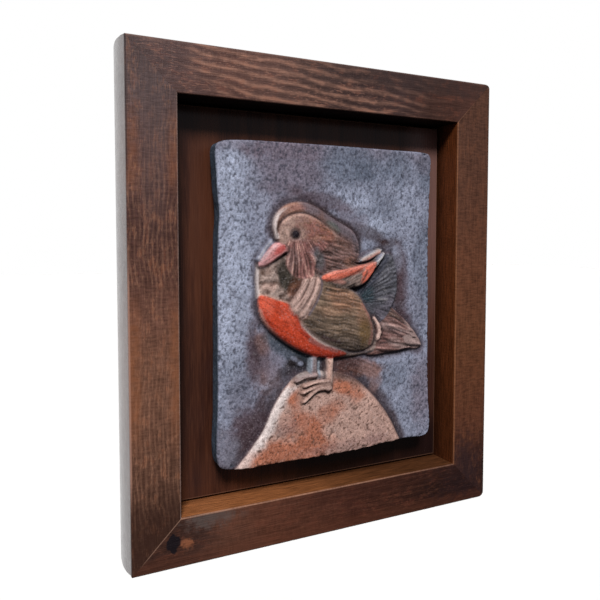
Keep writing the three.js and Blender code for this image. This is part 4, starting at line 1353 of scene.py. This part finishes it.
# How deep the grain and the pores are in each surface, in metres
RAIL_GRAIN = 0.00014
PANEL_GRAIN = 0.0001
BLOCK_GRAIN = 0.0002
CLAY_GRAIN = 0.00028

COAT_ROUGHNESS = 0.2


def stained_pine(tree, place, upright, tones, pale, warm, pitch, slope, rings, cross, seed, plain_from):
    """The colour of a stained rail, its growth rings, its fibre and its cross figure."""
    x, y, z = place
    along, across = (z, x) if upright else (x, z)

    def grain(along_scale, across_scale, detail, shift):
        """Noise drawn out along the rail, spread to run from 0 to 1."""
        sideways = across * across_scale + seed
        point = vector_of(tree, along * along_scale + shift, sideways, y * across_scale)
        return noise(tree, point, 1, detail, 0.6).fade(0.32, 0.68)

    fibre = grain(0.07, 1.6, 5, 0)
    figured = along.fade(plain_from + 65, plain_from - 15)
    fleck = grain(0.3, 1.2, 2, 31) * figured
    mottle = grain(0.11, 0.2, 4, 53)
    figure = grain(0.78, 0.16, 3, 71)
    drift = grain(0.014, 0.02, 2, 97)

    length = HALF_HEIGHT * 2
    stops = [(position / length + 0.5, stain(tone)) for position, tone in tones]
    colour = Wire.make(tree, "ValToRGB", {"stops": stops}, {"Fac": along / length + 0.47 + 0.06 * drift})
    depth = 0.7 + 0.32 * fibre + 0.24 * mottle + cross * (figure - 0.5)
    colour = scaled(tree, colour, depth)
    ring = ((across + along * slope + y * 0.45 + drift * 5) * (2 * math.pi / pitch)).sine() * 0.5 + 0.5
    shown = rings * drift.fade(0.1, 0.5) * figured
    colour = tinted(tree, colour,
                    (shown * ring ** 2 * (0.4 + 0.6 * fibre) * (0.35 + 0.65 * mottle), pale),
                    (0.45 * fleck.fade(0.62, 0.95) * mottle, pale),
                    (0.35 * mottle.fade(0.6, 1) * fibre, warm))
    return colour, ring, fibre, figure


def wear_arrises(tree, name, place, colour, fibre, figure):
    """Arrises of the front, worn pale and lit with a painted highlight that fades to the right along the
    bottom rail, and the open line of the mitre at two corners.
    """
    x, y, z = place
    inner = past_box(x, z, OUTER - RAIL_WIDTH, HALF_HEIGHT - RAIL_WIDTH)
    outer = past_box(x, z, OUTER, HALF_HEIGHT)
    front = y.fade(-RAIL_DEPTH + 1.3, -RAIL_DEPTH + 0.5)
    # The inner arrises, worn pale and lit with a painted highlight; along the bottom rail the highlight
    # fades to the right
    rubbed_and_lit = front * inner.fade(1.0, 0.45) * (0.35 + 0.4 * fibre + 0.25 * figure)
    if name == "bottom":
        rubbed_and_lit = rubbed_and_lit * (1 - 0.55 * x.fade(10, 90))
    layers = [(0.85 * rubbed_and_lit, ARRIS_WEAR_AND_HIGHLIGHT[name])]
    band = front * outer.fade(-1.5, -0.7)
    # The left outer arris is lit with a painted highlight from near its foot to above the middle, and is
    # dark near its top
    if name == "left":
        layers.append((0.7 * band * z.fade(40, 10) * z.fade(-118, -90), (176, 134, 118)))
        layers.append((0.8 * band * z.fade(60, 90), (48, 36, 38)))
    else:
        layers.append((0.35 * band, (112, 84, 72)))
    seam = abs(abs(x) - abs(z) - (OUTER - HALF_HEIGHT)).fade(0.6, 0.2) * front
    if name in ("left", "bottom"):
        open_part = x.fade(-94, -97) * z.fade(-110, -114) * z.fade(-146, -138)
        layers.append((0.6 * seam * open_part, (160, 124, 106)))
    else:
        open_part = x.fade(92, 95) * z.fade(112, 116) * z.fade(140, 126)
        layers.append((0.35 * seam * open_part, (150, 106, 82)))
    return tinted(tree, colour, *layers)


def paint_recess_light_and_shade(tree, name, place, colour, fibre):
    """Painted light and shade on the faces that look into the recess. The top face is painted near black
    as shade, the lit ledge under the tile is painted light that darkens to the right and towards the
    back, and the right face is painted light that darkens towards the back and the bottom.
    """
    x, y, z = place
    inner = past_box(x, z, OUTER - RAIL_WIDTH, HALF_HEIGHT - RAIL_WIDTH)
    recess = inner.fade(0.3, 0.1) * y.fade(-RAIL_DEPTH + 0.4, -RAIL_DEPTH + 1.4)
    depth = 0.45 + 0.9 * fibre
    # Painted light on the ledge, darkening to the right and towards the back
    if name == "bottom":
        depth = depth * (1 - 0.72 * x.fade(-70, 66)) * (1 - 0.35 * y.fade(-16, -8))
    # Painted light on the right face, darkening towards the back and the bottom
    if name == "right":
        depth = depth * (1 - 0.6 * y.fade(-22, -10)) * (1 - 0.3 * z.fade(-20, -100))
    return mix(tree, 0.9 * recess, colour, scaled(tree, stain(RECESS_LIGHT_AND_SHADE[name]), depth))


def oval(x, z, middle_x, middle_z, half_width, half_height):
    """Distance from a point in ovals: 1 on the oval's edge."""
    across, up = (x - middle_x) / half_width, (z - middle_z) / half_height
    return (across * across + up * up) ** 0.5


def mark_bottom_rail(tree, place, colour, mottle):
    """The knot beside the mitre, a warm patch next to it, a grey one under the arris, and the
    margins and the dark right end."""
    x, _, z = place
    ragged = 0.7 * mottle - 0.35
    grey = oval(x, z, -82, -124.6, 17, 5.6) + ragged
    ember = oval(x, z, -96, -137, 5, 3) + ragged
    knot = oval(x, z, -104.4, -134.6, 3.7, 6) + 0.6 * ragged
    dark = oval(x, z, 104, -132, 26, 16) + ragged
    return tinted(tree, colour,
                  (0.6 * grey.fade(1.3, 0.2), (96, 84, 80)),
                  (0.8 * ember.fade(1.2, 0.4), (150, 92, 64)),
                  (0.95 * knot.fade(1.1, 0.8), (24, 19, 25)),
                  (0.4 * x.fade(-40, -5) * z.fade(-133, -128), (54, 27, 19)),
                  (0.35 * z.fade(-140, -145), (98, 56, 40)),
                  (0.5 * dark.fade(1.3, 0.3), (40, 25, 26)))


def mark_top_rail(tree, place, colour, mottle):
    """The dark margin along the right half of the top."""
    x, _, z = place
    margin = z.fade(135, 141) * x.fade(-50, 20) * (0.6 + 0.4 * mottle)
    return tinted(tree, colour, (0.6 * margin, (56, 43, 42)))


def mark_stiles(tree, name, place, colour, mottle):
    """Warm margins, a dark foot and a grey middle on the left, and the dark foot of the right."""
    x, _, z = place
    if name == "left":
        from_middle = abs(x + OUTER - 15)
        warm_part = (z.fade(16, -14) + 0.7 * z.fade(62, 76) * z.fade(120, 95)) * z.fade(-90, -50)
        return tinted(tree, colour,
                      (0.55 * from_middle.fade(6, 11) * warm_part * (0.5 + 0.5 * mottle), (150, 92, 60)),
                      (0.75 * z.fade(-92, -124), (60, 37, 29)),
                      (0.4 * from_middle.fade(10, 4) * z.fade(20, 90), (92, 76, 76)))
    foot = oval(x, z, 110, -124, 13, 24) + 0.6 * mottle - 0.3
    return tinted(tree, colour, (0.6 * foot.fade(1.3, 0.3), (48, 32, 34)))


def rail_material(name):
    """Stained pine with the marks of one rail. Its outer side is varnished and greyer."""
    material, tree = new_material("stained_pine_" + name)
    place = object_place(tree)
    x, _, z = place
    colour, ring, fibre, figure = stained_pine(tree, place, **RAIL_WOOD[name])
    mottle = drawn_noise(tree, place, 0.25, 0.25, 3, 0.55).fade(0.35, 0.65)
    if name == "top":
        colour = mark_top_rail(tree, place, colour, mottle)
    if name == "bottom":
        colour = mark_bottom_rail(tree, place, colour, mottle)
    if name in ("left", "right"):
        colour = mark_stiles(tree, name, place, colour, mottle)
    colour = wear_arrises(tree, name, place, colour, fibre, figure)
    colour = paint_recess_light_and_shade(tree, name, place, colour, fibre)
    outside = past_box(x, z, OUTER, HALF_HEIGHT).fade(-0.5, -0.1)
    colour = tinted(tree, colour, (0.75 * outside, (120, 112, 112)))
    varnish = outside * (0.8 + 0.2 * mottle)
    roughness = 0.36 + 0.14 * fibre + 0.06 * figure
    relief = fibre * 0.6 + ring * 0.3 + figure * 0.35
    finish_surface(tree, colour, roughness, relief, RAIL_GRAIN, coat=varnish, specular=0.25)
    return material


def panel_material():
    """Dark stained board, with a painted shadow of the tile at its low right corner, a painted reflection
    up its right side and a painted highlight along its eased edge.
    """
    material, tree = new_material("stained_panel")
    place = object_place(tree)
    x, y, z = place
    streak = drawn_noise(tree, place, 0.12, 0.008, 4)
    fibre = drawn_noise(tree, place, 1.1, 0.05, 4)
    cloud = drawn_noise(tree, place, 0.03, 0.015, 2, 0.55)
    low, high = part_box("back_panel")
    front = y.fade(low.y / MM + 1, low.y / MM + 0.5)
    painted_reflection = x.fade(66, 84) * z.fade(-60, 60) * (0.6 + 0.4 * streak)
    edge = past_box(x, z, high.x / MM, (high.z - low.z) / 2 / MM)
    colour = tinted(tree, stain((52, 28, 22)),
                    (streak.fade(0.3, 0.7), (88, 50, 34)),
                    (0.5 * fibre.fade(0.45, 0.75), (100, 60, 42)),
                    (0.5 * cloud.fade(0.55, 0.35), (56, 36, 34)),
                    # Painted shadow of the tile at the low right corner
                    (0.85 * front * x.fade(-60, 0) * z.fade(-70, -105), (22, 13, 14)),
                    # Painted reflection up the right side
                    (0.6 * front * painted_reflection, (150, 114, 108)),
                    # Painted highlight along the eased front edge
                    (0.55 * edge.fade(-1.2, -0.5), (132, 96, 78)))
    finish_surface(tree, colour, 0.2 + 0.16 * fibre, fibre * 0.6 + streak, PANEL_GRAIN, specular=0.4)
    return material


def block_material():
    """Bare, unstained wood."""
    material, tree = new_material("bare_block_wood")
    place = object_place(tree)
    fibre = drawn_noise(tree, place, 0.9, 0.04, 4)
    ring = drawn_noise(tree, place, 0.16, 0.01, 3, 0.55)
    colour = tinted(tree, stain((112, 84, 58)),
                    (fibre, (160, 126, 90)),
                    (0.6 * ring.fade(0.4, 0.6), (130, 94, 62)))
    finish_surface(tree, colour, 0.7 + 0.15 * fibre, fibre, BLOCK_GRAIN)
    return material


def tile_material():
    """The carving's paint, with dark and pale specks and a thin dust over it."""
    material, tree = new_material("painted_clay")
    paint = Wire.make(tree, "Attribute", {"attribute_name": "paint"}, {})
    place = vector_of(tree, *object_place(tree))
    speck = noise(tree, place, 0.9, 3, 0.6)
    fine = noise(tree, place, 1.9, 2, 0.6)
    grain = noise(tree, place, 3.4, 2, 0.6)
    dust = noise(tree, place, 0.35, 3, 0.6)
    colour = mix(tree, 0.55 * speck.fade(0.48, 0.34), paint, (0.25, 0.22, 0.22, 1), "MULTIPLY")
    colour = tinted(tree, colour, (0.22 * speck.fade(0.56, 0.7), (196, 190, 196)))
    colour = mix(tree, 0.25 * dust.fade(0.55, 0.4), colour, (0.55, 0.5, 0.5, 1), "MULTIPLY")
    colour = scaled(tree, colour, 0.84 + 0.32 * fine.fade(0.35, 0.65))
    roughness = 0.76 + 0.2 * grain - 0.12 * dust
    finish_surface(tree, colour, roughness, speck * 0.7 + grain * 0.5, CLAY_GRAIN, specular=0.15)
    return material


def dress(piece, material):
    piece.data.materials.clear()
    piece.data.materials.append(material)


# Floor, light and camera. The side of the floor and its drop below the frame are in metres
FLOOR_SIZE = 60
FLOOR_DROP = 1.4
FLOOR_PAINT = (0.86, 0.86, 0.85, 1)


def make_floor():
    material, tree = new_material("pale_floor")
    finish_surface(tree, FLOOR_PAINT, 0.9, 0.5, 0.0)
    bpy.ops.object.select_all(action="DESELECT")
    foot = (MIDDLE_Z - HALF_HEIGHT) * MM
    bpy.ops.mesh.primitive_plane_add(size=FLOOR_SIZE, location=(0, 0, foot - FLOOR_DROP))
    floor = bpy.context.active_object
    floor.name = "floor"
    floor.visible_diffuse = floor.visible_glossy = False
    dress(floor, material)


# Where the light travels for each millimetre into the wall: across, in and down
LIGHT_WAY = (0.40, 1.0, -0.934)
SUN_STRENGTH = 3.2
SUN_SPREAD = 15.0
SUN_COLOUR = (1.0, 0.985, 0.965)

# The light of the room from above, from below and from the wall's side, and the backdrop
HIGH_LIGHT = (0.186, 0.194, 0.216, 1)
LOW_LIGHT = (0.05, 0.05, 0.05, 1)
WALL_LIGHT = (0.9, 0.9, 0.9, 1)
BACKDROP = (1.0, 1.0, 1.0, 1)


def make_lights():
    """A soft sun from the upper left of the front, and the light of the room."""
    sun = bpy.data.lights.new("key_light", "SUN")
    sun.energy = SUN_STRENGTH
    sun.angle = math.radians(SUN_SPREAD)
    sun.color = SUN_COLOUR
    key = bpy.data.objects.new("key_light", sun)
    across, inward, down = LIGHT_WAY
    key.rotation_euler = (math.atan2(inward, -down), 0, -math.atan2(across, inward))
    bpy.context.scene.collection.objects.link(key)

    world = bpy.data.worlds.new("studio")
    bpy.context.scene.world = world
    world.use_nodes = True
    tree = world.node_tree
    tree.nodes.clear()
    _, inward, upward = parts_of(tree, Wire.make(tree, "TexCoord", {}, {}, 0))
    light = mix(tree, upward.fade(-0.3, 0.3), LOW_LIGHT, HIGH_LIGHT)
    light = mix(tree, inward.fade(-0.1, 0.25), light, WALL_LIGHT)
    shown = mix(tree, Wire.make(tree, "LightPath", {}, {}), light, BACKDROP)
    glow = Wire.make(tree, "Background", {}, {"Color": shown, "Strength": 1.0})
    Wire.make(tree, "OutputWorld", {}, {"Surface": glow})


# The camera stands left of the plaque, a little above its middle. Angles are in degrees
CAMERA_PLACE = (-193.7, -341.5 - RAIL_DEPTH, MIDDLE_Z + 39.5)
CAMERA_HEADING = 25.89
CAMERA_PITCH = -2.98
CAMERA_LENS = 37.1
CAMERA_SENSOR = 36
CAMERA_SHIFT = (0.011, -0.047)


def make_camera():
    camera = bpy.data.cameras.new("camera")
    camera.lens = CAMERA_LENS
    camera.sensor_width = CAMERA_SENSOR
    camera.shift_x, camera.shift_y = CAMERA_SHIFT
    camera.clip_start = 0.01
    view = bpy.data.objects.new("camera", camera)
    view.location = [value * MM for value in CAMERA_PLACE]
    view.rotation_euler = (math.radians(90 + CAMERA_PITCH), 0, -math.radians(CAMERA_HEADING))
    bpy.context.scene.collection.objects.link(view)
    bpy.context.scene.camera = view


make_camera()
make_lights()
make_floor()
rails = {
    "top": make_rail("frame_top", "top_rail", 2 * OUTER, HALF_HEIGHT, 0, (TOP_RIGHT_WEAR, TOP_LEFT_WEAR)),
    "bottom": make_rail("frame_bottom", "bottom_rail", 2 * OUTER, HALF_HEIGHT, math.pi,
                        (LOW_LEFT_WEAR, LOW_RIGHT_WEAR)),
    "left": make_rail("frame_left", "left_stile", 2 * HALF_HEIGHT, OUTER, -math.pi / 2,
                      (TOP_LEFT_WEAR, LOW_LEFT_WEAR)),
    "right": make_rail("frame_right", "right_stile", 2 * HALF_HEIGHT, OUTER, math.pi / 2,
                       (LOW_RIGHT_WEAR, TOP_RIGHT_WEAR)),
}
for side, rail in rails.items():
    dress(rail, rail_material(side))
dress(make_panel(), panel_material())
dress(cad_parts["mounting_block"], block_material())
dress(make_tile(), tile_material())
bpy.context.scene.view_settings.view_transform = "Standard"
